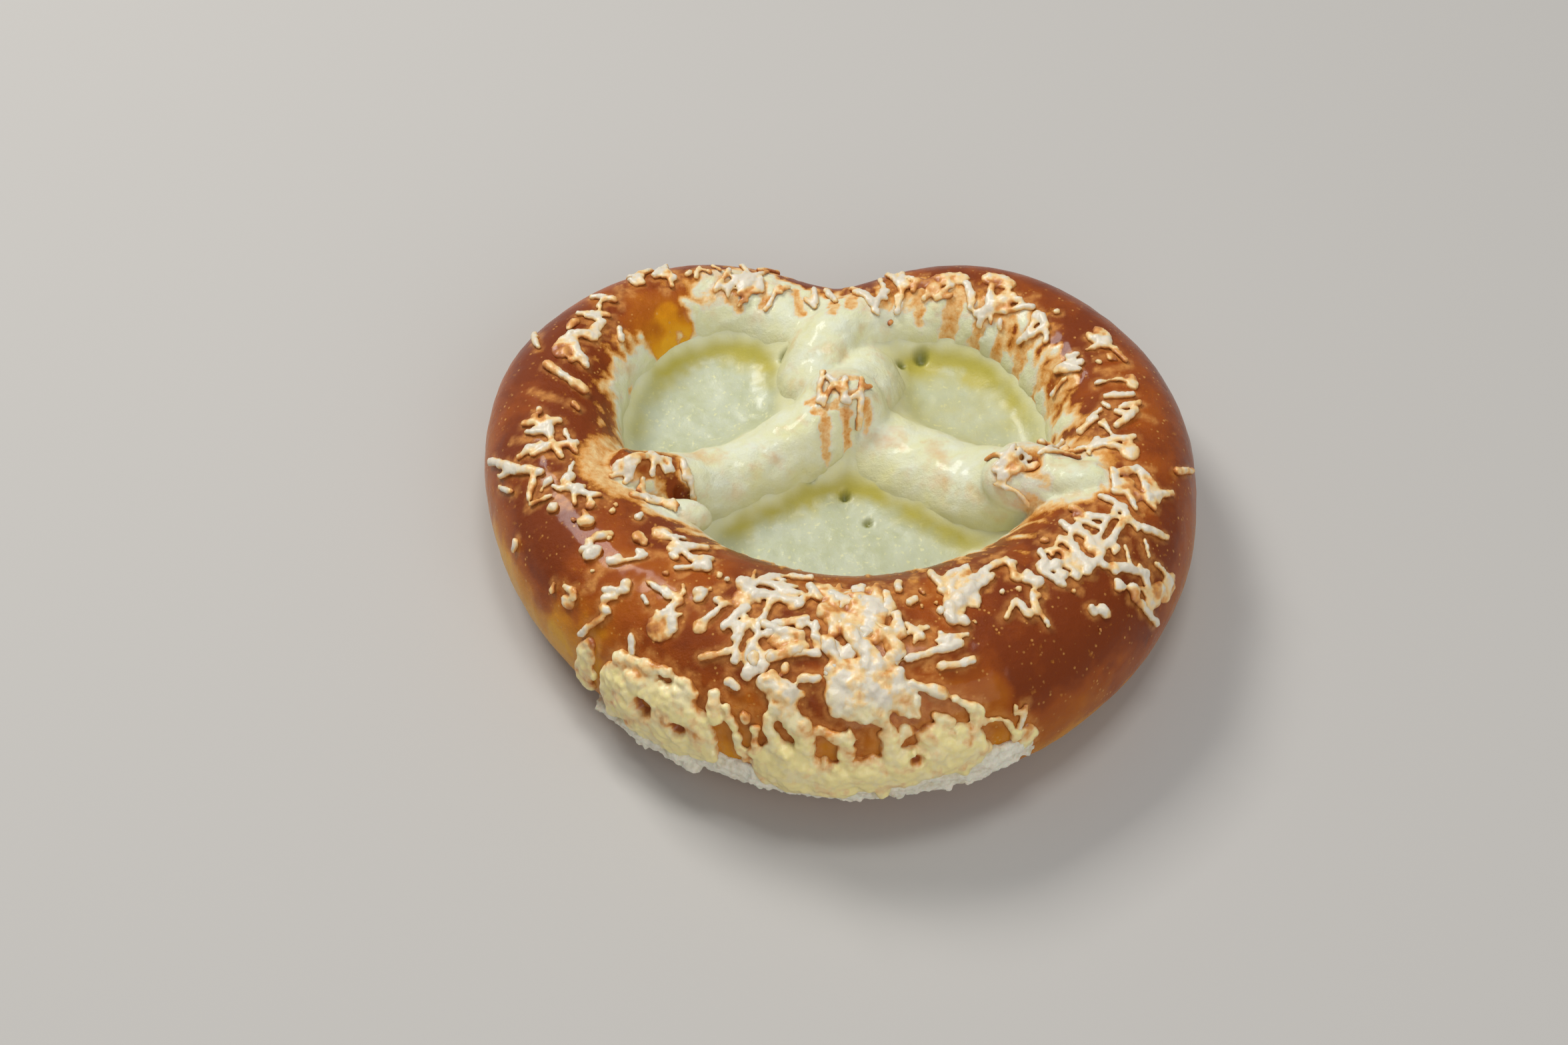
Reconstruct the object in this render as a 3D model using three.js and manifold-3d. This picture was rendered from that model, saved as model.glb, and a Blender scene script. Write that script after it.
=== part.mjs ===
// A cheese pretzel, in millimetres: a lye-dough rope laid in a ring whose two thin arms cross in a
// twist and end on the fat belly. Melted cheese fills the three loops, coats the arms, hangs over
// the front of the belly as a skirt, and grated shreds lie on the crust.
// The frame: origin under the middle of the pretzel, +Y from the belly to the shoulders, +Z up.
import * as THREE from "three";
import { mergeVertices } from "three/addons/utils/BufferGeometryUtils.js";
import Module from "manifold-3d";

const wasm = await Module();
wasm.setup();

// ---------------------------------------------------------------- driving dimensions

const STATION_DEG = 30; // the ring's sizes are given each 30 degrees, from +X round by the back
const RING = [
  // radius of the centre line, half the width, height of the top
  [59.2, 16.3, 31], //   0: right side
  [65.0, 14.0, 27.5],
  [64.8, 11.6, 24], //  60: right shoulder
  [53.5, 10.0, 20], //  90: the dip between the shoulders
  [67.0, 10.9, 22.5], // 120: left shoulder
  [67.7, 13.8, 27.5],
  [58.0, 16.0, 31], // 180: left side
  [49.5, 18.5, 34],
  [46.5, 21.0, 36],
  [47.0, 22.0, 37], // 270: the middle of the belly
  [49.0, 21.5, 36.5],
  [53.4, 19.0, 34],
];
const MIDDLE_SHARE = 0.43; // the rope is widest at this share of its height
const SQUARENESS = 0.9; // below 1, the rope's section is fuller than an ellipse
const SINK = 1.6; // how far the round section is pressed flat on the baking tray

// Each arm from the shoulder where it leaves the ring to its end on the belly:
// x, y, half the width, height of the top.
const ARM_TO_RIGHT = [
  [18, 58, 10, 20.5],
  [8, 53, 9.5, 22],
  [-1, 45, 9, 24],
  [-4, 34, 9.5, 22],
  [2, 24, 9.5, 20],
  [13, 14.5, 10, 20.5],
  [25, 7.5, 10.5, 22],
  [35, 2, 10, 28],
  [45, -1.5, 8.5, 31.5],
];
const ARM_TO_LEFT = [
  [-20, 58, 10, 20],
  [-9, 52, 9.5, 20],
  [1, 44, 9, 19],
  [5, 34, 9.5, 22],
  [0, 24, 9.5, 26],
  [-12, 14.5, 9, 22.5],
  [-25, 7, 9, 22],
  [-35, 2, 9.5, 27],
  [-43, 0.5, 8.5, 31.5],
];

// Lumps where the arms end, cross and meet the belly: x, y, height of the middle, three radii.
const LUMPS = [
  [1, 24, 18.5, 9, 8.5, 9], // the twist
  [39, -1, 26, 9.5, 7.5, 6.5], // the end of the right arm
  [50, -5, 30, 7, 4, 3.5],
  [-35, -10, 24, 8, 4, 4], // a lip of cheese under the left arm
];

// Cheese melted over the front of the belly, placed round the ring:
// degrees, around, half-size in each, thickness.
const PUFFS = [
  [219, 8, 7, 16, 2.4],
  [229, 10, 8, 20, 3],
  [239, 10, 8, 22, 3.2],
  [246, 10, 4, 18, 2.2],
  [255, 38, 4, 22, 1.8],
  [260, 12, 7, 24, 3],
  [270, 12, 8, 26, 3.6],
  [280, 14, 8, 24, 3.4],
  [289, 16, 7, 20, 3.2],
  [297, 18, 5, 14, 2.4],
  [262, 46, 4, 14, 2],
  [271, 54, 6, 20, 2.2],
  [281, 46, 5, 14, 2],
  [264, 92, 8, 13, 1.6],
  [270, 72, 7, 14, 1.8],
];
// Melted bands run down to it from the shreds: degrees and around at both ends, width.
const DRIPS = [
  [246, 56, 252, 14, 4],
  [256, 70, 267, 34, 6],
  [275, 66, 280, 34, 5],
  [282, 50, 296, 32, 4],
];
const DRIP_HEIGHT = 3.4;
const PUFF_FLATNESS = 0.55; // below 1, a puff is flat on top and steep at its edge

// The torn crumb that shows under the melted cheese, placed the same way.
const TORN_EDGE = [265, -10, 36, 12, 1.5];

// Grated shreds on the crust, given like the bands.
const SHREDS = [
  // the left shoulder and side
  [122, 92, 123, 64, 2.6],
  [128, 86, 126, 48, 2.2],
  [134, 92, 137, 60, 2.4],
  [143, 109, 147, 84, 2.4],
  [154, 116, 147, 86, 2.6],
  [161, 120, 155, 79, 2.8],
  [152, 71, 147, 44, 2.2],
  [170, 99, 169, 66, 2.2],
  [177, 106, 175, 66, 2.4],
  [168, 87, 181, 90, 2.6],
  [183, 79, 171, 28, 2.8],
  [180, 66, 176, 36, 2.2],
  [181, 71, 187, 58, 2.2],
  [186, 90, 187, 82, 2.6],
  [195, 84, 199, 86, 2.4],
  [204, 115, 205, 103, 2.4],
  [190, 36, 191, 23, 2],
  [203, 41, 204, 31, 1.8],
  // the left of the belly
  [218, 49, 214, 23, 2.2],
  [225, 51, 228, 36, 2.4],
  [210, 80, 211, 72, 2.6],
  [213, 58, 220, 70, 1.8],
  [220, 100, 222, 116, 2],
  [224, 101, 230, 113, 2.4],
  [220, 79, 229, 78, 2],
  [229, 78, 234, 62, 2.4],
  [228, 90, 231, 83, 2.2],
  [236, 98, 238, 102, 2.6],
  [242, 96, 249, 118, 2.4],
  [240, 54, 248, 69, 2.2],
  [246, 82, 248, 72, 2.2],
  // the middle of the belly
  [241, 99, 260, 99, 2.8],
  [248, 107, 258, 104, 2.4],
  [251, 119, 260, 121, 2.2],
  [247, 50, 252, 47, 2.6],
  [258, 116, 264, 100, 3],
  [264, 108, 274, 100, 3],
  [275, 118, 273, 94, 2.6],
  [252, 84, 262, 92, 2.4],
  [253, 70, 266, 74, 2.6],
  [262, 84, 270, 78, 2.6],
  [250, 76, 256, 62, 2.2],
  [276, 92, 284, 84, 2.4],
  [266, 62, 274, 84, 2.8],
  [286, 120, 285, 106, 2.6],
  [284, 91, 288, 79, 2.4],
  [282, 71, 296, 74, 2.6],
  [288, 64, 297, 63, 2.6],
  [304, 31, 301, 12, 2],
  // the right of the belly
  [299, 115, 308, 117, 2.6],
  [302, 104, 311, 109, 2.4],
  [317, 109, 314, 92, 2.4],
  [298, 95, 299, 90, 2.6],
  [310, 88, 311, 72, 2.4],
  [315, 87, 312, 72, 2.4],
  [320, 96, 322, 77, 2.2],
  [323, 64, 323, 52, 2.6],
  [331, 104, 330, 77, 2.4],
  [336, 110, 334, 94, 2.4],
  [326, 77, 338, 80, 2.6],
  [336, 79, 347, 80, 2.4],
  [332, 74, 338, 45, 2.6],
  [331, 49, 335, 11, 2.2],
  [344, 69, 347, 44, 2.4],
  // the right side and shoulder
  [340, 100, 343, 84, 2.2],
  [351, 77, 356, 50, 2.4],
  [354, 100, 357, 84, 2.4],
  [360, 57, 365, 30, 2.4],
  [368, 100, 374, 82, 2.4],
  [389, 103, 392, 132, 2.4],
  [390, 85, 389, 74, 2.6],
  [400, 115, 406, 98, 2.4],
  [403, 94, 404, 86, 2.2],
  [412, 92, 417, 120, 2.4],
  [426, 100, 428, 80, 2.4],
  [434, 62, 436, 94, 2.2],
  [442, 120, 446, 84, 2.2],
];
const SHRED_LIFT = 0.5; // the middle of a strand above the crust

const POOL_REACH = 54; // the cheese in the loops ends inside the ring at this radius
const POOL_LEVEL = 11; // it stands this high
const POOL_BASE = 0.8; // and its skin just clears the tray
const GAP = 0.3; // between the cheese and the dough

const RING_STEPS = 60;
const RING_SIDES = 18;
const ARM_STEPS = 18;
const ARM_SIDES = 12;
const ARM_END_RINGS = 3;
const POOL_SIDES = 28;
const TRAY = [400, 400, 50]; // what lies below z = 0 is cut away by a block of this size

const CRUST = new THREE.MeshStandardMaterial({ color: "#8a4a24", roughness: 0.38, metalness: 0 });
const CHEESE = new THREE.MeshStandardMaterial({ color: "#cfcf9f", roughness: 0.5, metalness: 0 });

// ---------------------------------------------------------------- helpers

const lerpRow = (rows, at) => {
  // A uniform Catmull-Rom spline through the rows; `at` is a whole number at each row.
  const i = Math.floor(at);
  const f = at - i;
  const [a, b, c, d] = [-1, 0, 1, 2].map((k) => rows(i + k));
  return b.map((_, n) => {
    const bend = -a[n] + 3 * b[n] - 3 * c[n] + d[n];
    const lean = 2 * a[n] - 5 * b[n] + 4 * c[n] - d[n];
    return b[n] + 0.5 * f * (c[n] - a[n] + f * (lean + f * bend));
  });
};
const round = (rows) => (i) => rows[((i % rows.length) + rows.length) % rows.length];
const ended = (rows) => (i) => rows[Math.min(Math.max(i, 0), rows.length - 1)];

const power = (x) => Math.sign(x) * Math.abs(x) ** SQUARENESS;
const UP = new THREE.Vector3(0, 0, 1);

// The ring's centre line and sizes at an angle in degrees.
function ringAt(degrees) {
  const [radius, half, height] = lerpRow(round(RING), degrees / STATION_DEG);
  const angle = THREE.MathUtils.degToRad(degrees);
  const middle = height * MIDDLE_SHARE;
  return {
    centre: new THREE.Vector3(radius * Math.cos(angle), radius * Math.sin(angle), middle),
    half,
    rise: height - middle,
    drop: middle + SINK,
  };
}

// A point on the ring: `around` is 0 on the outer side, 90 on top and 180 on the inner side.
function ringSurface(degrees, around, grow = 0) {
  const { centre, half, rise, drop } = ringAt(degrees);
  const along = ringAt(degrees + 0.5).centre.sub(ringAt(degrees - 0.5).centre).setZ(0).normalize();
  const out = new THREE.Vector3().crossVectors(along, UP);
  const v = THREE.MathUtils.degToRad(around);
  const side = (half + grow) * power(Math.cos(v));
  const lift = ((Math.sin(v) > 0 ? rise : drop) + grow) * power(Math.sin(v));
  return centre.addScaledVector(out, side).addScaledVector(UP, lift);
}

// Turns a closed three.js geometry into a solid, with each vertex moved by `place`.
function solidOf(geometry, place = (p) => p) {
  const bare = geometry.clone();
  bare.deleteAttribute("normal");
  bare.deleteAttribute("uv");
  const merged = mergeVertices(bare, 1e-4);
  const p = merged.attributes.position;
  const v = new THREE.Vector3();
  for (let i = 0; i < p.count; i++) {
    const moved = place(v.fromBufferAttribute(p, i).clone());
    p.setXYZ(i, moved.x, moved.y, moved.z);
  }
  const corners = [];
  for (let i = 0; i < merged.index.count; i += 3) {
    const [a, b, c] = merged.index.array.slice(i, i + 3);
    if (a !== b && b !== c && a !== c) corners.push(a, b, c);
  }
  const mesh = new wasm.Mesh({ numProp: 3, vertProperties: p.array, triVerts: new Uint32Array(corners) });
  const solid = new wasm.Manifold(mesh);
  if (solid.volume() > 0) return solid;
  for (let i = 0; i < corners.length; i += 3) {
    [corners[i + 1], corners[i + 2]] = [corners[i + 2], corners[i + 1]];
  }
  return new wasm.Manifold(
    new wasm.Mesh({ numProp: 3, vertProperties: p.array, triVerts: new Uint32Array(corners) }),
  );
}

const union = (solids) => solids.reduce((all, next) => all.add(next));

function largest(solid) {
  return solid.decompose().reduce((a, b) => (b.volume() > a.volume() ? b : a));
}

function meshOf(name, solid, material) {
  const { vertProperties, triVerts } = solid.getMesh();
  const geometry = new THREE.BufferGeometry()
    .setAttribute("position", new THREE.BufferAttribute(vertProperties, 3))
    .setIndex(new THREE.BufferAttribute(triVerts, 1));
  geometry.computeVertexNormals();
  const mesh = new THREE.Mesh(geometry, material);
  mesh.name = name;
  return mesh;
}

// ---------------------------------------------------------------- the dough

function ring(grow = 0) {
  const torus = new THREE.TorusGeometry(2, 1, RING_SIDES, RING_STEPS);
  return solidOf(torus, ({ x, y, z }) => {
    const degrees = THREE.MathUtils.radToDeg(Math.atan2(y, x));
    const around = THREE.MathUtils.radToDeg(Math.atan2(z, Math.hypot(x, y) - 2));
    return ringSurface(degrees, around, grow);
  });
}

// An arm is a capsule whose long axis is bent along the rows and whose section takes their sizes.
function arm(rows, grow = 0) {
  const capsule = new THREE.CapsuleGeometry(1, 2, ARM_END_RINGS, ARM_SIDES, ARM_STEPS);
  const last = rows.length - 1;
  return solidOf(capsule, ({ x, y, z }) => {
    const inside = THREE.MathUtils.clamp(y, -1, 1);
    const at = ((inside + 1) / 2) * last;
    const [px, py, half, height] = lerpRow(ended(rows), at);
    const ahead = lerpRow(ended(rows), Math.min(at + 0.02, last));
    const behind = lerpRow(ended(rows), Math.max(at - 0.02, 0));
    const along = new THREE.Vector3(ahead[0] - behind[0], ahead[1] - behind[1], 0).normalize();
    const side = new THREE.Vector3().crossVectors(along, UP);
    const middle = height * MIDDLE_SHARE;
    const lift = z > 0 ? height - middle : middle + SINK;
    return new THREE.Vector3(px, py, middle)
      .addScaledVector(along, (y - inside) * (half + grow))
      .addScaledVector(side, x * (half + grow))
      .addScaledVector(UP, z * (lift + grow));
  });
}

function lump([x, y, z, rx, ry, rz]) {
  const ball = new THREE.SphereGeometry(1, 10, 7);
  return solidOf(ball, (p) => new THREE.Vector3(x + p.x * rx, y - p.z * ry, z + p.y * rz));
}

function trayBlock() {
  const box = new THREE.BoxGeometry(...TRAY);
  return solidOf(box, (p) => p.add(new THREE.Vector3(0, 0, -TRAY[2] / 2)));
}

const rope = (grow) => union([ring(grow), arm(ARM_TO_RIGHT, grow), arm(ARM_TO_LEFT, grow)]);

// ---------------------------------------------------------------- the cheese on the dough

function puff([degrees, around, halfDegrees, halfAround, thickness]) {
  const ball = new THREE.SphereGeometry(1, 8, 6);
  return solidOf(ball, (p) => {
    const lift = thickness * Math.sign(p.y) * Math.abs(p.y) ** PUFF_FLATNESS;
    return ringSurface(degrees + p.x * halfDegrees, around + p.z * halfAround, lift);
  });
}

// Millimetres on the crust for a degree along the ring and for one around the rope.
function scaleAt(degrees, around) {
  const { centre, half, rise } = ringAt(degrees);
  const reach = centre.setZ(0).length() + half * Math.cos(THREE.MathUtils.degToRad(around));
  return [THREE.MathUtils.degToRad(reach), THREE.MathUtils.degToRad((half + rise) / 2)];
}

// A strand of cheese with round ends, bent to lie on the crust.
function strand([fromDegrees, fromAround, toDegrees, toAround, width], height) {
  const degrees = (fromDegrees + toDegrees) / 2;
  const around = (fromAround + toAround) / 2;
  const [perDegree, perAround] = scaleAt(degrees, around);
  const way = new THREE.Vector2((toDegrees - fromDegrees) * perDegree, (toAround - fromAround) * perAround);
  const length = way.length();
  way.normalize();
  const capsule = new THREE.CapsuleGeometry(0.5, 1, 1, 4, 2);
  return solidOf(capsule, (p) => {
    const body = THREE.MathUtils.clamp(p.y, -0.5, 0.5);
    const s = body * (length - width) + (p.y - body) * width;
    const ahead = s * way.x - p.x * width * way.y;
    const aside = s * way.y + p.x * width * way.x;
    const lift = SHRED_LIFT + p.z * height;
    return ringSurface(degrees + ahead / perDegree, around + aside / perAround, lift);
  });
}

// ---------------------------------------------------------------- the cheese in the loops

// One sheet of cheese is cut by the dough into the pieces that lie in the loops.
function pools() {
  const disc = new THREE.CylinderGeometry(1, 1, 1, POOL_SIDES, 1);
  const sheet = solidOf(disc, (p) => {
    return new THREE.Vector3(p.x * POOL_REACH, -p.z * POOL_REACH, p.y > 0 ? POOL_LEVEL : POOL_BASE);
  });
  const pieces = sheet.subtract(rope(GAP)).decompose();
  return pieces.sort((a, b) => b.volume() - a.volume()).slice(0, 3);
}

function poolName(solid) {
  const { min, max } = solid.boundingBox();
  if (min[1] + max[1] < 20) return "cheese_pool_front";
  return min[0] + max[0] < 0 ? "cheese_pool_left" : "cheese_pool_right";
}

// ---------------------------------------------------------------- the pretzel

const pretzel = new THREE.Group();
const toppings = [
  ...LUMPS.map(lump),
  ...[...PUFFS, TORN_EDGE].map(puff),
  ...DRIPS.map((row) => strand(row, DRIP_HEIGHT)),
  ...SHREDS.map((row) => strand(row, row[4])),
];
const body = largest(union([rope(0), ...toppings]).subtract(trayBlock()));
pretzel.add(meshOf("pretzel", body, CRUST));
for (const piece of pools()) pretzel.add(meshOf(poolName(piece), piece, CHEESE));

// The origin is put under the middle of the whole.
const { min, max } = new THREE.Box3().setFromObject(pretzel);
const toMiddle = [-(min.x + max.x) / 2, -(min.y + max.y) / 2, -min.z];
for (const mesh of pretzel.children) mesh.geometry.translate(...toMiddle);

export default pretzel;
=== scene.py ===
"""A cheese pretzel: glossy lye crust, loops full of melted cheese, grated cheese baked on top."""

import math

import bmesh
import bpy
import numpy as np
from mathutils import Matrix, Vector, noise
from mathutils.bvhtree import BVHTree
from mathutils.kdtree import KDTree


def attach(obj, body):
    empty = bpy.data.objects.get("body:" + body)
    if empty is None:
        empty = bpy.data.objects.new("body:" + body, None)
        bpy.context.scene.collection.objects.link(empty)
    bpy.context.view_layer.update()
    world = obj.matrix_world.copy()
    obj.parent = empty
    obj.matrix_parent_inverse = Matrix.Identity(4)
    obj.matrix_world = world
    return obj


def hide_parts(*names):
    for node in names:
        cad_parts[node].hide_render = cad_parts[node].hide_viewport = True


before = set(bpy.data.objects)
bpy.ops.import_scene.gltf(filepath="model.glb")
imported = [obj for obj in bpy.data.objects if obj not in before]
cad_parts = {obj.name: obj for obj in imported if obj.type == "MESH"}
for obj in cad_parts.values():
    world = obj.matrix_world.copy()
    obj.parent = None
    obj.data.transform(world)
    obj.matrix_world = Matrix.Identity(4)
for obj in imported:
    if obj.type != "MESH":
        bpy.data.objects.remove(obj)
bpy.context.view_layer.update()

bl_info = {
    "name": "Cheese pretzel",
    "version": (1, 0, 0),
    "blender": (4, 5, 0),
    "location": "View3D > Sidebar > Pretzel",
    "description": "Bakes a pretzel with a glossy crust, melted cheese and grated shreds",
    "category": "Object",
}

MM = 0.001  # tables are in millimetres, meshes in metres
ABOVE = 60  # rays that look down on the dough start this high
DOWN = Vector((0, 0, -1))

# ------------------------------------------------------------------ the dough's measures

TO_MIDDLE = (0.119, 1.423)  # from the ring's middle to the origin
STATION_DEG = 30
# The ring from +X round by the back: radius of the centre line, half the width, height.
RING = [
    (59.2, 16.3, 31),
    (65.0, 14.0, 27.5),
    (64.8, 11.6, 24),
    (53.5, 10.0, 20),
    (67.0, 10.9, 22.5),
    (67.7, 13.8, 27.5),
    (58.0, 16.0, 31),
    (49.5, 18.5, 34),
    (46.5, 21.0, 36),
    (47.0, 22.0, 37),
    (49.0, 21.5, 36.5),
    (53.4, 19.0, 34),
]
MIDDLE_SHARE = 0.43  # the rope is widest at this share of its height
SQUARENESS = 0.9  # below 1, its section is fuller than an ellipse
SINK = 1.6  # how far the round section is pressed flat on the tray
RING_GRID = (180, 60)  # steps round the ring and round the rope
ARM_GRID = (40, 60)  # sides and rings of an arm
ARM_STEPS = 60  # along the path of an arm
CAP_SHARE = 0.16  # the part of a strand, in sphere latitudes, that rounds its end

# Each arm from its shoulder to its end on the belly: x, y, half the width, height.
ARM_TO_RIGHT = [
    (18, 58, 10, 20.5),
    (8, 53, 9.5, 22),
    (-1, 45, 9, 24),
    (-4, 34, 9.5, 22),
    (2, 24, 9.5, 20),
    (13, 14.5, 10, 20.5),
    (25, 7.5, 10.5, 22),
    (35, 2, 10, 28),
    (45, -1.5, 8.5, 31.5),
]
ARM_TO_LEFT = [
    (-20, 58, 10, 20),
    (-9, 52, 9.5, 20),
    (1, 44, 9, 19),
    (5, 34, 9.5, 22),
    (0, 24, 9.5, 26),
    (-12, 14.5, 9, 22.5),
    (-25, 7, 9, 22),
    (-35, 2, 9.5, 27),
    (-43, 0.5, 8.5, 31.5),
]

# Lumps where the arms end, cross and meet the belly: x, y, z of the middle, three radii.
LUMPS = [
    (1, 24, 18.5, 9, 8.5, 9),
    (39, -1, 26, 9.5, 7.5, 6.5),
    (50, -5, 30, 7, 4, 3.5),
    (-35, -10, 24, 8, 4, 4),
]

# ------------------------------------------------------------------ the cheese's measures

# The angle round the rope past which melted cheese coats the dough, every 15 degrees.
COAT_EDGE = [
    138, 148, 142, 128, 122, 112, 85, 55, 108, 128, 140, 165,
    172, 160, 150, 152, 158, 160, 162, 160, 158, 154, 150, 142,
]
COAT_STATION_DEG = 15
COAT_SOFT = (-30, 34)  # degrees from its edge over which the coat grows
COAT_RAGGED = 14  # degrees by which its edge wanders
COAT_FINGERED = 36  # degrees by which fingers of it reach on
COAT_THICKNESS = 0.9
FINGER_RADIUS = 45  # where the fingers at the coat's edge have their true width
FINGER_STRETCH = 0.12  # millimetres for each degree round the rope
STREAK_LEVEL = 0.38
STREAK_SPOTS = 5  # spots in a row that make a streak
LOW_GREEN_SHADE = 0.28  # how much painted shade, as green, the coat takes low down near the loops
ARM_HALF_WIDTH = 9.5
ARM_END_X = (-33, 33)  # past these the arms are baked brown
ARM_START_Y = 48  # behind this the arms are crust as the shoulders are
SPOTS_ABOVE = 12  # spots seen from above don't reach lower than this
# Spots where the coat is whole (1), thin or bare (0), seen from above: x, y, radius, how whole.
COAT_SPOTS = [
    (48, -5, 6.5, 1),
    (43, -2.5, 3.5, 1),
    (-34, -11, 5.5, 1),
    (-29, -12.5, 3.5, 1),
    (-43, -2.5, 4, 1),
    (-4, 50, 5, 1),
    (-44, 1, 4.5, 0),
    (-38, 1.5, 4, 0),
    (-34, -3.5, 2.6, 0),
    (34, -2.5, 2.6, 0.35),
    (-39, 45.5, 5.5, 0),
    (-35.5, 49, 3.5, 0),
]
# Streaks baked bare in the coat, seen from above: both ends, radius.
COAT_STREAKS = [
    (-6.5, 20.5, -1.5, 22.5, 1.2),
    (-5.5, 18, -1, 19.5, 1.0),
    (0.5, 24.5, 4, 25.5, 1.1),
    (1, 20.5, 4.5, 22, 1.0),
    (-3, 17, -3, 12, 1.3),
    (1.2, 17.5, 1.6, 14, 1.2),
    (5.5, 20.5, 6, 16.5, 1.1),
    (-1, 52, -1, 47, 1.4),
    (4, 55, 3, 50, 1.5),
    (10, 57, 9.5, 52, 1.6),
    (-9, 57, -8, 51, 1.3),
    (-17, 58, -16, 53, 1.7),
    (-24, 57, -22, 53, 1.9),
    (19, 57, 18, 50, 1.9),
    (27, 54, 24.5, 47, 1.9),
    (33, 50, 29.5, 43, 1.7),
    (38, 46, 34, 40, 1.7),
    (43, 40, 38, 35, 1.6),
    (47, 33, 42, 29, 1.6),
    (50, 26, 44.5, 23, 1.5),
]
# How brown the crust is, from 0 to 1: at the tray, how much more on top, and the share of that
# which it gets where it faces the side.
BAKED_LOW = 0.12
BAKED_MORE = 0.83
BAKED_SIDE_SHARE = 0.3
BAKED_UNEVEN = 0.22
# Spots baked darker or paler: x, y, radius, how much.
BAKED_SPOTS = [
    (-39, 45.5, 8, -0.36),
    (-35, 49, 6, -0.3),
    (-42, 4, 3, 0.7),
    (-48, 22, 9, 0.15),
    (39, -1, 3, 0.6),
    # The darker spot low at the front right is partly painted shade, and the paler one low at the
    # front left is partly painted light.
    (52, -34, 16, 0.2),
    (-44, -38, 14, -0.12),
]
# Burst bubbles where the arms end: x, y, radius, depth.
DENTS = [
    (39, -1, 3.2, 2.6),
    (-42, 4, 2.6, 1.4),
    (-32.5, -4, 2, 1),
]
BURST_BAKED = 0.5  # how much browner a burst bubble is
# Green pits in the cheese of the loops, darkened with painted shade: x, y, radius, depth.
POOL_PITS = [
    (18.5, 44, 2.4, 1.7),
    (-11.5, 41.5, 2.2, 1.6),
    (1.2, 5.5, 1.6, 1.6),
    (-28, -2.5, 2.4, 1.8),
    (-6.5, 8.5, 2.4, 1.0),
    (6, -1.5, 1.6, 0.9),
    (14, 41, 1.6, 1.0),
]
# The middle of each loop's grid, x and y, and how much painted shade, as green, its cheese takes
# all over; the right loop lies in the twist's shade.
POOLS = {
    "cheese_pool_left": (-29, 30, 0.0),
    "cheese_pool_right": (27, 30, 0.24),
    "cheese_pool_front": (0, -12, 0.05),
}
POOL_STEP = 0.6  # between the lines of the grid
POOL_SPAN = (100, 60)  # of the grid
POOL_TUCK = 1.5  # how deep a pool runs on under the dough
POOL_CLIMB = 8  # the dough is taken as this high over the pool where the cheese climbs it
POOL_BLUR = 3.2  # how far the climbing cheese levels out
POOL_SHADE = 6  # how far in from the dough the painted shade, as green, reaches into the cheese
POOL_GREEN_SHADE = (0.5, 3.4)  # how far the blurred dough stands over the cheese as that turns green with painted shade
POOL_COATED = (1.6, 4.2)  # how far the cheese climbs as it takes the coat's colour
POOL_EDGE = 1.2  # a pool's edge lies this far inside the dough
POOL_INSIDE = 7  # no pool runs on deeper into the dough than this
POOL_BASE = 0.8  # how high over the tray a pool ends

# Melted cheese over the front of the belly:
# degrees, around, half-size in each, thickness.
PUFFS = [
    (217, 6, 2.6, 24, 1.2),
    (226, 8, 4.4, 22, 1.9),
    (232, 10, 7, 25, 2.7),
    (239, 12, 6, 25, 2.8),
    (244.5, 10, 3.6, 17, 2.4),
    (232, -3, 9, 9, 2.0),
    (258.5, 4, 3.4, 15, 2.0),
    (263, 3, 5, 16, 2.8),
    (269, 1, 5, 13, 3.0),
    (275, 6, 5, 12, 2.8),
    (281, 9, 5, 13, 2.7),
    (287, 13, 4.6, 14, 2.5),
    (292.2, 14, 3, 15, 2.2),
    (264.3, 22, 1.8, 16, 2.2),
    (271.2, 21, 1.5, 12, 2.0),
    (278.6, 22, 1.7, 13, 2.2),
    (286, 25, 3, 10, 1.8),
    (291, 22, 3, 9, 1.8),
    (303, 8, 2.2, 8, 1.2),
    (272, 56, 5, 17, 1.9),
    (277, 58, 5, 16, 2.0),
    (270, 66, 3.5, 10, 1.5),
    (281, 50, 2.2, 10, 1.4),
    (275, 46, 4, 8, 1.7),
    (268, 105, 6, 9, 1.2),
    (276, 98, 5, 10, 1.3),
    (272, 92, 7, 8, 1.2),
    (263, 112, 3.6, 6, 1.0),
    (279, 107, 1.8, 13, 1.2),
    (258, 78, 5, 5, 0.9),
]
PUFF_FLATNESS = 0.55
# Bands that run down to it: degrees and around at both ends, width.
DRIPS = [
    (246, 45, 247.5, 22, 3.2),
    (249, 38, 252, 22, 2.2),
    (252, 22, 254.6, 2, 2.0),
    (252.8, 36, 253.8, 29, 3.2),
    (254, 59, 262, 46, 5.4),
    (256, 48, 262, 38, 5.4),
    (260, 44, 265.4, 28, 4.6),
    (265, 33, 272, 28, 2.6),
    (257.5, 40, 259.6, 16, 2.6),
    (278, 40, 278.6, 28, 2.4),
    (283, 52, 284, 38, 2.2),
]
# Thinner bands and melted shreds among them, given the same way.
RIVULETS = [
    (226, 36, 238, 41, 2.6),
    (238, 41, 244, 34, 2.4),
    (224, 30, 229, 36, 2.2),
    (255, 30, 256.4, 8, 1.8),
    (261, 58, 266, 62, 1.8),
    (282, 60, 290, 48, 2.2),
    (290, 48, 296, 32, 2.4),
    (286, 40, 290, 32, 2.0),
    (292, 34, 296, 27, 1.8),
    (296, 29, 299, 26, 1.3),
    (299, 26, 300.6, 14, 1.3),
    (264, 84, 270, 70, 2.6),
    (270, 92, 276, 72, 3.4),
    (280, 90, 282, 70, 2.6),
    (282, 96, 284, 82, 2.2),
    (254, 68, 262, 76, 2.6),
    (253, 60, 252, 70, 2.6),
    (250, 84, 262, 82, 2.2),
]
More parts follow.
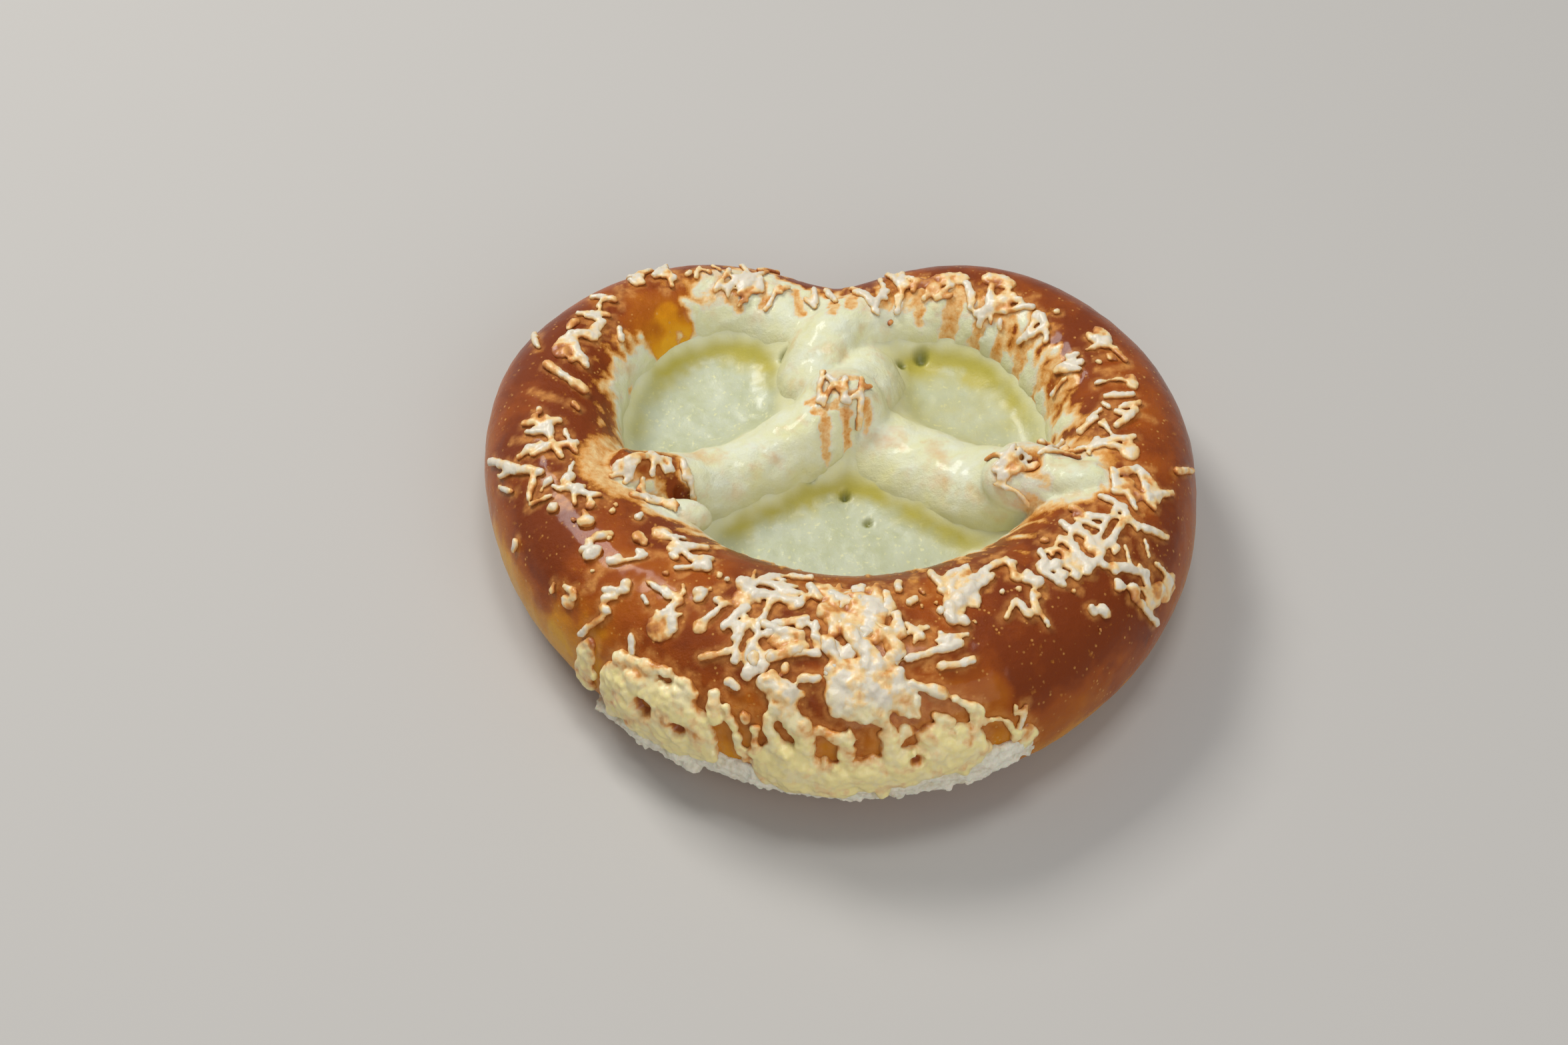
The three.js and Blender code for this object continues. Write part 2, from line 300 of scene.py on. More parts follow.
# Heaps of small puffs: degrees, around, reach in both, largest radius, thickness, how many.
HEAPS = [
    (275, 58, 6, 18, 1.7, 2.4, 46),
    (270, 102, 8, 12, 1.9, 1.5, 18),
    (277, 84, 5, 10, 1.6, 1.4, 12),
    (260, 46, 4, 8, 1.6, 1.9, 8),
    (264, 30, 2.4, 8, 1.3, 1.8, 6),
    (271, 26, 1.6, 8, 1.2, 1.8, 5),
    (279, 28, 2, 8, 1.2, 1.8, 6),
    (288, 26, 7, 7, 1.3, 1.8, 14),
    (232, 34, 8, 5, 1.4, 1.4, 10),
    (244, 26, 3, 10, 1.4, 1.8, 7),
]
# Burst bubbles in it: degrees, around, radius, depth.
PITS = [
    (219.6, 14, 1.2, 1.4),
    (233, 14, 2.6, 2.8),
    (240.6, 12, 1.9, 2.4),
    (282.8, 16, 1.5, 2.2),
    (280.6, 33, 1.0, 1.5),
    (289, 29, 1.0, 1.5),
    (274.6, 22, 1.8, 2.6),
]
# The torn crumb under it, as cushions.
TORN_EDGE = [
    (233, -17, 12, 9, 2.3),
    (250, -10, 12, 12, 1.3),
    (268, -10, 14, 12, 1.4),
    (287, -5, 14, 13, 1.5),
    (299, -2, 5, 10, 1.0),
]
# Crust baked paler among the cheese: degrees, around, reach in both, change.
PALE_PATCHES = [
    (251, 16, 5, 22, -0.36),
    (291, 38, 9, 14, -0.3),
    (268, 22, 3, 12, -0.34),
    (275, 26, 3, 14, -0.34),
    (298, 18, 4, 14, -0.2),
    (216, 16, 9, 26, -0.35),
    (198, 2, 16, 22, -0.3),
    (256, 42, 6, 14, -0.25),
]

# Grated shreds, given like the bands.
SHREDS = [
    # the left shoulder and side
    (122, 92, 123, 64, 2.6),
    (128, 86, 126, 48, 2.2),
    (134, 92, 137, 60, 2.4),
    (143, 109, 147, 84, 2.4),
    (154, 116, 147, 86, 2.6),
    (161, 120, 155, 79, 2.8),
    (152, 71, 147, 44, 2.2),
    (170, 99, 169, 66, 2.2),
    (177, 106, 175, 66, 2.4),
    (168, 87, 181, 90, 2.6),
    (183, 79, 171, 28, 2.8),
    (180, 66, 176, 36, 2.2),
    (181, 71, 187, 58, 2.2),
    (186, 90, 187, 82, 2.6),
    (195, 84, 199, 86, 2.4),
    (204, 115, 205, 103, 2.4),
    (190, 36, 191, 23, 2),
    (203, 41, 204, 31, 1.8),
    # the left of the belly
    (218, 49, 214, 23, 2.2),
    (225, 51, 228, 36, 2.4),
    (210, 80, 211, 72, 2.6),
    (213, 58, 220, 70, 1.8),
    (220, 100, 222, 116, 2),
    (224, 101, 230, 113, 2.4),
    (220, 79, 229, 78, 2),
    (229, 78, 234, 62, 2.4),
    (228, 90, 231, 83, 2.2),
    (236, 98, 238, 102, 2.6),
    (242, 96, 249, 118, 2.4),
    (240, 54, 248, 69, 2.2),
    (246, 82, 248, 72, 2.2),
    # the middle of the belly
    (241, 99, 260, 99, 2.8),
    (248, 107, 258, 104, 2.4),
    (251, 119, 260, 121, 2.2),
    (247, 50, 252, 47, 2.6),
    (258, 116, 264, 100, 3),
    (264, 108, 274, 100, 3),
    (275, 118, 273, 94, 2.6),
    (252, 84, 262, 92, 2.4),
    (253, 70, 266, 74, 2.6),
    (262, 84, 270, 78, 2.6),
    (250, 76, 256, 62, 2.2),
    (276, 92, 284, 84, 2.4),
    (266, 62, 274, 84, 2.8),
    (286, 120, 285, 106, 2.6),
    (284, 91, 288, 79, 2.4),
    (282, 71, 296, 74, 2.6),
    (288, 64, 297, 63, 2.6),
    (304, 31, 301, 12, 2),
    # the right of the belly
    (299, 115, 308, 117, 2.6),
    (302, 104, 311, 109, 2.4),
    (317, 109, 314, 92, 2.4),
    (298, 95, 299, 90, 2.6),
    (310, 88, 311, 72, 2.4),
    (315, 87, 312, 72, 2.4),
    (320, 96, 322, 77, 2.2),
    (323, 64, 323, 52, 2.6),
    (331, 104, 330, 77, 2.4),
    (336, 110, 334, 94, 2.4),
    (326, 77, 338, 80, 2.6),
    (336, 79, 347, 80, 2.4),
    (332, 74, 338, 45, 2.6),
    (331, 49, 335, 11, 2.2),
    (344, 69, 347, 44, 2.4),
    # the right side and shoulder
    (340, 100, 343, 84, 2.2),
    (351, 77, 356, 50, 2.4),
    (354, 100, 357, 84, 2.4),
    (360, 57, 365, 30, 2.4),
    (368, 100, 374, 82, 2.4),
    (389, 103, 392, 132, 2.4),
    (390, 85, 389, 74, 2.6),
    (400, 115, 406, 98, 2.4),
    (403, 94, 404, 86, 2.2),
    (412, 92, 417, 120, 2.4),
    (426, 100, 428, 80, 2.4),
    (434, 62, 436, 94, 2.2),
    (442, 120, 446, 84, 2.2),
]
SHRED_SLIMMER = 0.74  # the width of a shred's core, as the noise swells it
SHRED_LIFT = 0.5
# The angle at which each group of shreds starts.
REGIONS = {"shreds_right": 295, "shreds_front": 205, "shreds_left": 135, "shreds_back": 20}
# Finer shreds between them: degrees, around, reach in both, the way they point, how many.
FINE_CLUSTERS = [
    (150, 100, 10, 24, 75, 4),
    (172, 85, 10, 28, 60, 9),
    (184, 60, 6, 24, 80, 4),
    (190, 92, 10, 14, 20, 4),
    (213, 60, 8, 25, 50, 5),
    (222, 106, 11, 14, 30, 7),
    (232, 80, 12, 20, 20, 7),
    (247, 80, 10, 28, 60, 10),
    (260, 104, 13, 20, 30, 12),
    (272, 72, 10, 24, 50, 9),
    (287, 108, 7, 16, 60, 4),
    (289, 74, 8, 15, 20, 4),
    (306, 108, 10, 14, 40, 12),
    (316, 88, 9, 18, 60, 3),
    (333, 92, 14, 26, 50, 18),
    (336, 56, 6, 24, 75, 5),
    (350, 84, 9, 24, 60, 12),
    (8, 100, 12, 24, 70, 13),
    (26, 88, 8, 14, 60, 3),
    (30, 118, 6, 20, 80, 4),
    (52, 112, 14, 24, 75, 22),
    (76, 100, 11, 34, 70, 13),
    (110, 96, 9, 34, 80, 11),
    (124, 78, 12, 26, 80, 10),
    (140, 98, 8, 22, 80, 4),
]
FINE_LENGTH = (2.0, 8.5)
FINE_WIDTH = 1.5
# Shreds on the twist, the arm ends and the shoulders, seen from above:
# x, y, reach, the way they point, how many.
PLAN_CLUSTERS = [
    (-43, -1, 6, 40, 9),
    (-35, 2, 5, 120, 5),
    (-38, -9, 5, 150, 6),
    (0.5, 22, 6, 80, 6),
    (34, -3, 5, 20, 9),
    (46, 4, 5, 20, 9),
    (-4, 53, 5, 80, 3),
    (14, 57, 7, 80, 7),
    (-20, 58, 8, 80, 10),
]
# Crumbs of cheese: degrees, around, reach in both, how many.
CRUMB_CLUSTERS = [
    (208, 78, 16, 26, 18),
    (236, 92, 14, 18, 16),
    (188, 84, 10, 16, 8),
    (298, 92, 12, 18, 20),
    (320, 92, 10, 18, 12),
    (28, 88, 14, 14, 8),
    (330, 60, 16, 20, 10),
    (255, 70, 12, 24, 10),
    (150, 90, 16, 20, 6),
    (300, 26, 5, 6, 3),
]
CRUMB_SIZE = (0.5, 1.6)

# ------------------------------------------------------------------ relief and draws

# Bumps laid over a surface: their height and size in millimetres, the seed of the noise, octaves.
CRUST_RELIEF = [(0.35, 22, 2, 1), (0.1, 5, 3, 1), (0.06, 2.6, 31, 2)]
POOL_RELIEF = [(0.45, 8, 6, 1), (0.22, 2.6, 7, 1)]
SKIRT_RELIEF = [(0.5, 2.8, 8, 1), (0.38, 1.3, 9, 1)]
CRUMB_RELIEF = [(0.5, 2.2, 10, 3), (0.25, 0.9, 11, 1)]
SHRED_RELIEF = [(0.3, 1.6, 13, 1), (0.16, 0.7, 14, 1)]
# Fingers at the edge of the coat, given the same way.
COAT_FINGERS = [(1, 2.6, 17, 1), (0.5, 1.2, 29, 1)]

SKIRT_SEED = 7
CRUMB_SEED = 11
SHRED_SEED = 31

SKIRT_FULL = 2.0  # how thick the skirt is where it shows its own colour
SHRED_FULL = 1.3  # how thick a shred is there
RIM_FACING = (0.6, 0.1)  # how far cheese turns from the crust where its rim is gilded
RIM_REACH = (1.6, 0.8)  # how high over the crust the rim ends
RIM_GILT = 0.85
# The film of fat round the cheese and the shreds melted into the crust: reach and strength.
FILM_REACH = (2.1, 0.9)
FILM = 0.7
SUNKEN_REACH = (1.5, 0.7)
SUNKEN = 0.9
CRAGS = 28  # small puffs on each cushion of torn crumb
WEB_CHANCE = 0.2  # how often a fine shred has a thin melted sheet beside it

# ------------------------------------------------------------------ the view and the light

CAMERA_AIM = (-11.68, -2.08, 14.0)
CAMERA_ELEVATION = 52.0
CAMERA_DISTANCE = 598.0
CAMERA_FOCUS_SHARE = 4250 / 2352  # focal length over the picture's width
SENSOR_WIDTH = 36.0
# Lights: name, place and size in metres, watts, tint.
LIGHTS = [
    ("window", (-0.62, 0.72, 1.0), (0.5, 0.4), 12.4, (1, 0.985, 0.96)),
    ("ceiling", (0.1, 0.15, 1.3), (0.4, 0.3), 4.4, (1, 1, 1)),
    ("fill", (0.35, -0.9, 0.7), (1.0, 0.8), 5, (1, 1, 1)),
]
ROOM_TINT = (0.9, 0.94, 1, 1)
ROOM_STRENGTH = 0.26


class PretzelSizes(bpy.types.PropertyGroup):
    """Sizes a user may change."""

    crust_voxel: bpy.props.FloatProperty(
        name="Crust grain", description="Mesh size of the crust", default=0.0008, unit="LENGTH"
    )
    cheese_voxel: bpy.props.FloatProperty(
        name="Cheese grain", description="Mesh size of the cheese", default=0.0004, unit="LENGTH"
    )
    pool_level: bpy.props.FloatProperty(
        name="Pool level", description="Height of the cheese in the loops", default=0.0112,
        unit="LENGTH",
    )
    floor_size: bpy.props.FloatProperty(
        name="Floor", description="Width of the floor", default=6.0, unit="LENGTH"
    )


def colour(name, description, value):
    """A colour property with linear red, green and blue."""
    return bpy.props.FloatVectorProperty(
        name=name, description=description, default=value, subtype="COLOR", size=3, min=0, max=1
    )


class PretzelColours(bpy.types.PropertyGroup):
    """Colours a user may change."""

    crust_dark: colour("Darkest crust", "Top of the crust", (0.20, 0.036, 0.005))
    crust_deep: colour("Dark crust", "Upper sides of the crust", (0.33, 0.07, 0.006))
    crust_mid: colour("Crust", "Sides of the crust", (0.43, 0.115, 0.006))
    crust_low: colour("Pale crust", "Crust low on the sides", (0.68, 0.26, 0.006))
    crust_base: colour("Base", "Crust at the tray", (0.78, 0.37, 0.016))
    speck: colour("Specks", "Tiny blisters in the crust", (0.62, 0.30, 0.07))
    film: colour("Film", "Fat and thin cheese round the shreds", (0.60, 0.25, 0.06))
    cheese_pale: colour("Pale cheese", "Grated cheese", (0.71, 0.64, 0.51))
    cheese_cream: colour("Cream cheese", "Lightly baked cheese", (0.82, 0.58, 0.27))
    cheese_gold: colour("Golden cheese", "Thin, toasted cheese", (0.68, 0.31, 0.075))
    cheese_toast: colour("Toasted cheese", "Cheese baked brown", (0.36, 0.10, 0.02))
    skirt: colour("Skirt", "Thick melted cheese", (0.88, 0.74, 0.33))
    coat_cream: colour("Coat, cream", "Pale patches of the coat", (0.76, 0.78, 0.62))
    coat_yellow: colour("Coat, yellow", "Yellow patches of the coat", (0.74, 0.72, 0.40))
    # Partly the cheese's own yellow-green, and used as painted shade at the loops' edges by the
    # dough and low on the coat.
    green_cheese_shade: colour("Green cheese", "Cheese at the edges of the loops", (0.47, 0.41, 0.07))
    pool_white: colour("White cheese", "Cheese in the loops", (0.47, 0.49, 0.30))
    pool_pale: colour("Grey cheese", "Skin on the cheese in the loops", (0.54, 0.57, 0.43))
    # Painted shade in the pits.
    pit_shade: colour("Pits", "Pits in the cheese of the loops", (0.20, 0.20, 0.03))
    crumb: colour("Crumb", "Torn crumb", (0.86, 0.81, 0.66))
    crumb_shade: colour("Crumb, shaded", "Hollows of the torn crumb", (0.68, 0.60, 0.42))
    floor: colour("Floor", "The floor", (0.47, 0.45, 0.42))


# ------------------------------------------------------------------ shape helpers


def spline(rows, at, closed):
    """A uniform Catmull-Rom spline through the rows; at is whole at each row."""
    rows = np.asarray(rows, float)
    at = np.asarray(at, float)
    first = np.floor(at).astype(int)
    f = (at - first)[..., None]

    def row(k):
        i = first + k
        return rows[i % len(rows)] if closed else rows[np.clip(i, 0, len(rows) - 1)]

    a, b, c, d = (row(k) for k in (-1, 0, 1, 2))
    return b + 0.5 * f * (c - a + f * (2 * a - 5 * b + 4 * c - d + f * (-a + 3 * b - 3 * c + d)))


def smooth_step(low, high, x):
    """0 below low, 1 above high, and smooth between."""
    t = np.clip((x - low) / (high - low), 0, 1)
    return t * t * (3 - 2 * t)


def ring_at(degrees):
    """The ring's centre line, half width, rise above it and drop below it, in millimetres."""
    radius, half, height = spline(RING, np.asarray(degrees) / STATION_DEG, True).T
    angle = np.radians(degrees)
    middle = height * MIDDLE_SHARE
    x = radius * np.cos(angle) + TO_MIDDLE[0]
    y = radius * np.sin(angle) + TO_MIDDLE[1]
    return np.stack([x, y, middle], -1), half, height - middle, middle + SINK


def power(x, exponent=SQUARENESS):
    """A power that keeps the sign."""
    return np.sign(x) * np.abs(x) ** exponent


def ring_surface(degrees, around, grow=0.0):
    """Points on the ring: around is 0 on the outer side, 90 on top, 180 on the inner side."""
    degrees = np.asarray(degrees, float)
    centre, half, rise, drop = ring_at(degrees)
    along = ring_at(degrees + 0.5)[0] - ring_at(degrees - 0.5)[0]
    along /= np.linalg.norm(along[:, :2], axis=1)[:, None]
    v = np.radians(around)
    side = (half + grow) * power(np.cos(v))
    lift = (np.where(np.sin(v) > 0, rise, drop) + grow) * power(np.sin(v))
    x = centre[:, 0] + along[:, 1] * side
    y = centre[:, 1] - along[:, 0] * side
    return np.stack([x, y, centre[:, 2] + lift], -1)


def move_verts(verts, points):
    """Puts bmesh vertices at points given in millimetres."""
    for vert, point in zip(verts, points * MM):
        vert.co = point


def coords_of(verts):
    """The places of bmesh vertices, in the mesh's own units."""
    return np.array([vert.co[:] for vert in verts])


SPHERES = {}


def unit_sphere(segments, rings):
    """A sphere that is made once, moved and joined many times: its mesh and its vertices."""
    key = (segments, rings)
    if key not in SPHERES:
        bm = bmesh.new()
        bmesh.ops.create_uvsphere(bm, u_segments=segments, v_segments=rings, radius=1)
        mesh = bpy.data.meshes.new("unit sphere")
        bm.to_mesh(mesh)
        SPHERES[key] = (mesh, coords_of(bm.verts))
        bm.free()
    return SPHERES[key]


def join_moved(bm, mesh, points):
    """Joins the mesh to the bmesh with its vertices moved to points in millimetres."""
    mesh.vertices.foreach_set("co", (points * MM).ravel())
    bm.from_mesh(mesh, face_normals=False, vertex_normals=False)


def drop_spheres():
    """Removes the spheres once nothing more is made from them."""
    for mesh, _ in SPHERES.values():
        bpy.data.meshes.remove(mesh)
    SPHERES.clear()


def add_ring(bm):
    """The ring of dough, as a grid bent round and closed on itself."""
    steps, sides = RING_GRID
    made = bmesh.ops.create_grid(bm, x_segments=steps, y_segments=sides, size=1)["verts"]
    flat = coords_of(made)
    move_verts(made, ring_surface(flat[:, 0] * 180, flat[:, 1] * 180))
    bmesh.ops.remove_doubles(bm, verts=made, dist=1e-6)


def add_strand(bm, path, sides, rings):
    """A strand with round ends along a path of centres, sides, ups, halves, rises, drops."""
    centre, side, up, half, rise, drop = path
    mesh, ball = unit_sphere(sides, rings)
    latitude = np.arcsin(np.clip(ball[:, 2], -1, 1)) * 2 / math.pi
    body = np.clip(latitude / (1 - CAP_SHARE), -1, 1)
    beyond = np.sign(latitude) * np.clip((np.abs(latitude) - 1 + CAP_SHARE) / CAP_SHARE, 0, 1)
    waist = np.sqrt(1 - beyond**2) / np.maximum(np.hypot(ball[:, 0], ball[:, 1]), 1e-9)
    across = ball[:, 0] * waist
    lift = ball[:, 1] * waist
    at = (body + 1) / 2 * (len(centre) - 1)
    low = np.minimum(np.floor(at).astype(int), len(centre) - 2)
    f = at - low

    def mix(values):
        values = np.asarray(values, float)
        if values.ndim == 1:
            return values[low] * (1 - f) + values[low + 1] * f
        return values[low] * (1 - f)[:, None] + values[low + 1] * f[:, None]

    along = np.gradient(centre, axis=0)
    along /= np.linalg.norm(along, axis=1)[:, None]
    half_here = mix(half)
    points = (
        mix(centre)
        + mix(along) * (beyond * half_here)[:, None]
        + mix(side) * (across * half_here)[:, None]
        + mix(up) * (lift * np.where(lift > 0, mix(rise), mix(drop)))[:, None]
    )
    join_moved(bm, mesh, points)


def arm_path(rows, steps=ARM_STEPS):
    """The path of an arm, as add_strand takes it."""
    x, y, half, height = spline(rows, np.linspace(0, len(rows) - 1, steps), False).T
    middle = height * MIDDLE_SHARE
    centre = np.stack([x + TO_MIDDLE[0], y + TO_MIDDLE[1], middle], -1)
    along = np.gradient(centre, axis=0)
    along[:, 2] = 0
    along /= np.linalg.norm(along, axis=1)[:, None]
    side = np.stack([along[:, 1], -along[:, 0], np.zeros(steps)], -1)
    up = np.tile([0.0, 0.0, 1.0], (steps, 1))
    return centre, side, up, half, height - middle, middle + SINK


def add_lump(bm, row):
    """A lump of dough on the ring or the arms."""
    x, y, z, *radii = row
    mesh, ball = unit_sphere(32, 16)
    join_moved(bm, mesh, ball * radii + (x + TO_MIDDLE[0], y + TO_MIDDLE[1], z))


def add_puff(bm, row, segments=32):
    """A flat cushion of cheese laid round the ring."""
    degrees, around, half_degrees, half_around, thickness = row
    mesh, ball = unit_sphere(segments, segments // 2)
    lift = thickness * power(ball[:, 2], PUFF_FLATNESS)
    place = (degrees + ball[:, 0] * half_degrees, around + ball[:, 1] * half_around)
    join_moved(bm, mesh, ring_surface(*place, lift))


def new_object(name, bm):
    """An object with the bmesh as its mesh, at the origin."""
    mesh = bpy.data.meshes.new(name)
    bmesh.ops.recalc_face_normals(bm, faces=bm.faces)
    bm.to_mesh(mesh)
    bm.free()
    obj = bpy.data.objects.new(name, mesh)
    bpy.context.collection.objects.link(obj)
    return obj


def fuse(obj, voxel, rounds):
    """Melts overlapping bodies into one skin and smooths it."""
    obj.modifiers.new("Fuse", "REMESH").mode = "VOXEL"
    obj.modifiers["Fuse"].voxel_size = voxel
    smooth = obj.modifiers.new("Smooth", "SMOOTH")
    smooth.factor = 0.5
    smooth.iterations = rounds
    depsgraph = bpy.context.evaluated_depsgraph_get()
    mesh = bpy.data.meshes.new_from_object(obj.evaluated_get(depsgraph))
    obj.modifiers.clear()
    old = obj.data
    obj.data = mesh
    bpy.data.meshes.remove(old)
    mesh.name = obj.name
    mesh.shade_smooth()


def read_mesh(obj):
    """Vertex places in millimetres and vertex normals."""
    count = len(obj.data.vertices)
    points = np.empty(count * 3)
    obj.data.vertices.foreach_get("co", points)
    normals = np.empty(count * 3)
    obj.data.vertex_normals.foreach_get("vector", normals)
    return points.reshape(-1, 3) / MM, normals.reshape(-1, 3)


def write_mesh(obj, points):
    """Moves the vertices to places in millimetres."""
    obj.data.vertices.foreach_set("co", (points * MM).ravel())
    obj.data.update()


def paint(obj, name, values):
    """Keeps one number a vertex for the material to read."""
    layer = obj.data.attributes.get(name) or obj.data.attributes.new(name, "FLOAT", "POINT")
    layer.data.foreach_set("value", np.asarray(values, np.float32))


def waves(points, size, seed=0.0, octaves=1):
    """Smooth noise in -1..1 with bumps of about this size in millimetres."""
    shift = Vector((seed * 7.3, seed * 3.1, seed * 5.7))
    scale = 1 / size
    places = (np.asarray(points) * scale + shift).tolist()
    if octaves == 1:
        return np.array([noise.noise(p) for p in places])
    return np.array([noise.fractal(p, 0.8, 2.1, octaves) for p in places])


def relief(points, rows):
    """The sum of a table of waves at each point."""
    return sum(height * waves(points, *row) for height, *row in rows)


def surface_of(obj):
    """A search tree over the object's faces, in millimetres."""
    points, _ = read_mesh(obj)
    faces = [tuple(face.vertices) for face in obj.data.polygons]
    return BVHTree.FromPolygons([tuple(p) for p in points], faces)


def distance(points, spots):
    """How far each point is from the nearest spot."""
    tree = KDTree(len(spots))
    for i, spot in enumerate(spots):
        tree.insert(spot, i)
    tree.balance()
    return np.array([tree.find(p)[2] for p in points.tolist()])


def plan_distance(points, x, y):
    """How far each point is from a place of the tables, seen from above."""
    return np.hypot(points[:, 0] - x - TO_MIDDLE[0], points[:, 1] - y - TO_MIDDLE[1])


class Draw:
    """A seeded generator of even random numbers."""

    def __init__(self, seed):
        self.state = seed

    def __call__(self, low=0.0, high=1.0):
        self.state = self.state * 16807 % 2147483647
        return low + (high - low) * self.state / 2147483647

    def near(self, middle, reach):
        """A number that falls most often near the middle."""
        return middle + reach * (self(-0.5, 0.5) + self(-0.5, 0.5))


# ------------------------------------------------------------------ material helpers


def new_material(name):
    """A material with only a Principled shader and an output."""
    material = bpy.data.materials.new(name)
    material.use_nodes = True
    tree = material.node_tree
    return material, tree, tree.nodes["Principled BSDF"]


def plug(socket, value):
    """Feeds another node's output to a socket, or sets the socket's own value."""
    if isinstance(value, bpy.types.NodeSocket):
        socket.id_data.links.new(value, socket)
    else:
        socket.default_value = value


def set_inputs(made, **values):
    """Feeds or sets a node's sockets; a name has _ for each space."""
    for name, value in values.items():
        plug(made.inputs[name.replace("_", " ")], value)


def node(tree, kind, inputs=None, **settings):
    """A node with its settings and inputs; an input may be a value or another node's output."""
    made = tree.nodes.new(kind)
    for name, value in settings.items():
        setattr(made, name, value)
    for key, value in (inputs or {}).items():
        plug(made.inputs[key], value)
    return made


def attribute(tree, name):
    """A number that paint kept on the mesh."""
    return node(tree, "ShaderNodeAttribute", attribute_name=name).outputs["Fac"]


def maths(tree, operation, *values):
    """A sum, product or the like of values and outputs."""
    return node(tree, "ShaderNodeMath", dict(enumerate(values)), operation=operation).outputs[0]


def ramp(tree, factor, stops):
    """A colour ramp; each stop is a place and a colour."""
    made = node(tree, "ShaderNodeValToRGB", {"Fac": factor})
    elements = made.color_ramp.elements
    while len(elements) < len(stops):
        elements.new(1)
    for element, (place, value) in zip(elements, stops):
        element.position = place
        element.color = (*value, 1)
    return made.outputs["Color"]


def blend_colours(tree, factor, one, two):
    """One colour where the factor is 0, the other where it is 1."""
    made = node(tree, "ShaderNodeMix", {"Factor": factor}, data_type="RGBA")
    for key, value in ((6, one), (7, two)):
        fed = isinstance(value, bpy.types.NodeSocket)
        plug(made.inputs[key], value if fed else (*value, 1))
    return made.outputs[2]


def fade(tree, factor, *stops):
    """A ramp from one number to another; each stop is a place and a number."""
    return ramp(tree, factor, [(place, (level,) * 3) for place, level in stops])


def object_place(tree):
    """Where a point lies on its piece, for patterns."""
    return node(tree, "ShaderNodeTexCoord").outputs["Object"]


def scattered_noise(tree, size_mm, detail=2.0, roughness=0.5):
    """Noise on the object's own coordinates, with bumps of this size."""
    inputs = {"Vector": object_place(tree), "Scale": 1 / (size_mm * MM)}
    inputs |= {"Detail": detail, "Roughness": roughness}
    return node(tree, "ShaderNodeTexNoise", inputs).outputs["Fac"]


def mottle_group():
    """A node group: blotches of two sizes over a surface, from 0 to 1."""
    if "Mottle" in bpy.data.node_groups:
        return bpy.data.node_groups["Mottle"]
    tree = bpy.data.node_groups.new("Mottle", "ShaderNodeTree")
    for name, value in (("Large", 120.0), ("Small", 600.0), ("Contrast", 2.0)):
        socket = tree.interface.new_socket(name, in_out="INPUT", socket_type="NodeSocketFloat")
        socket.default_value = value
    tree.interface.new_socket("Blotches", in_out="OUTPUT", socket_type="NodeSocketFloat")
    inside = tree.nodes.new("NodeGroupInput")
    place = object_place(tree)
    parts = []
    for name, share in (("Large", 0.65), ("Small", 0.35)):
        inputs = {"Vector": place, "Scale": inside.outputs[name], "Detail": 2.0}
        part = node(tree, "ShaderNodeTexNoise", inputs).outputs["Fac"]
        parts.append(maths(tree, "MULTIPLY", part, share))
    centred = maths(tree, "SUBTRACT", maths(tree, "ADD", *parts), 0.5)
    spread = maths(tree, "MULTIPLY", centred, inside.outputs["Contrast"])
    shown = node(tree, "ShaderNodeMath", {0: spread, 1: 0.5}, operation="ADD", use_clamp=True)
    outside = tree.nodes.new("NodeGroupOutput")
    tree.links.new(shown.outputs[0], outside.inputs["Blotches"])
    return tree


def mottle(tree, large_mm, small_mm, contrast):
    """Blotches of two sizes, from 0 to 1."""
    made = node(tree, "ShaderNodeGroup")
    made.node_tree = mottle_group()
    set_inputs(made, Large=1 / (large_mm * MM), Small=1 / (small_mm * MM), Contrast=contrast)
    return made.outputs["Blotches"]


def bump(tree, shader, height, strength, depth_mm):
    """Relief that is too fine for the mesh."""
    inputs = {"Height": height, "Strength": strength, "Distance": depth_mm * MM}
    set_inputs(shader, Normal=node(tree, "ShaderNodeBump", inputs).outputs["Normal"])


# ------------------------------------------------------------------ the crust


def ring_place(points):
    """The place of each point round the ring and round the rope, in degrees."""
    place = points[:, :2] - TO_MIDDLE
    degrees = np.degrees(np.arctan2(place[:, 1], place[:, 0])) % 360
    centre, half, rise, _ = ring_at(degrees)
    inward = np.linalg.norm(centre[:, :2] - TO_MIDDLE, axis=1) - np.linalg.norm(place, axis=1)
    around = np.degrees(np.arctan2((points[:, 2] - centre[:, 2]) / rise, -inward / half)) % 360
    return degrees, np.where(around > 270, around - 360, around)


def spot_share(points, x, y, radius, ragged=0.0):
    """1 inside a spot seen from above, 0 outside it, with a soft or ragged edge."""
    apart = plan_distance(points, x, y)
    inside = smooth_step(radius * 1.3, radius * 0.6, apart + ragged * radius * 0.5)
    return inside * (points[:, 2] > SPOTS_ABOVE)


def arms_coat(points, ragged, fingers):
    """How far the arms are under melted cheese: all over, but for their browned ends."""
    on_arms = np.zeros(len(points))
    in_plan = np.array([1, 1, 0])
    for rows in (ARM_TO_RIGHT, ARM_TO_LEFT):
        apart = distance(points * in_plan, arm_path(rows, steps=90)[0] * in_plan)
        on_arms = np.maximum(on_arms, smooth_step(1.5, 0.95, apart / ARM_HALF_WIDTH))
    x, y = (points[:, :2] - TO_MIDDLE).T
    on_arms *= smooth_step(ARM_START_Y + 8, ARM_START_Y - 4, y + 4 * ragged + 6 * fingers)
    left, right = ARM_END_X
    left_end = smooth_step(left + 5, left - 6, x + 3 * ragged)
    right_end = smooth_step(right - 3, right + 8, x + 3 * ragged)
    browned = np.maximum(left_end, right_end) * smooth_step(18, 26, points[:, 2])
    return on_arms * (1 - 0.6 * browned)


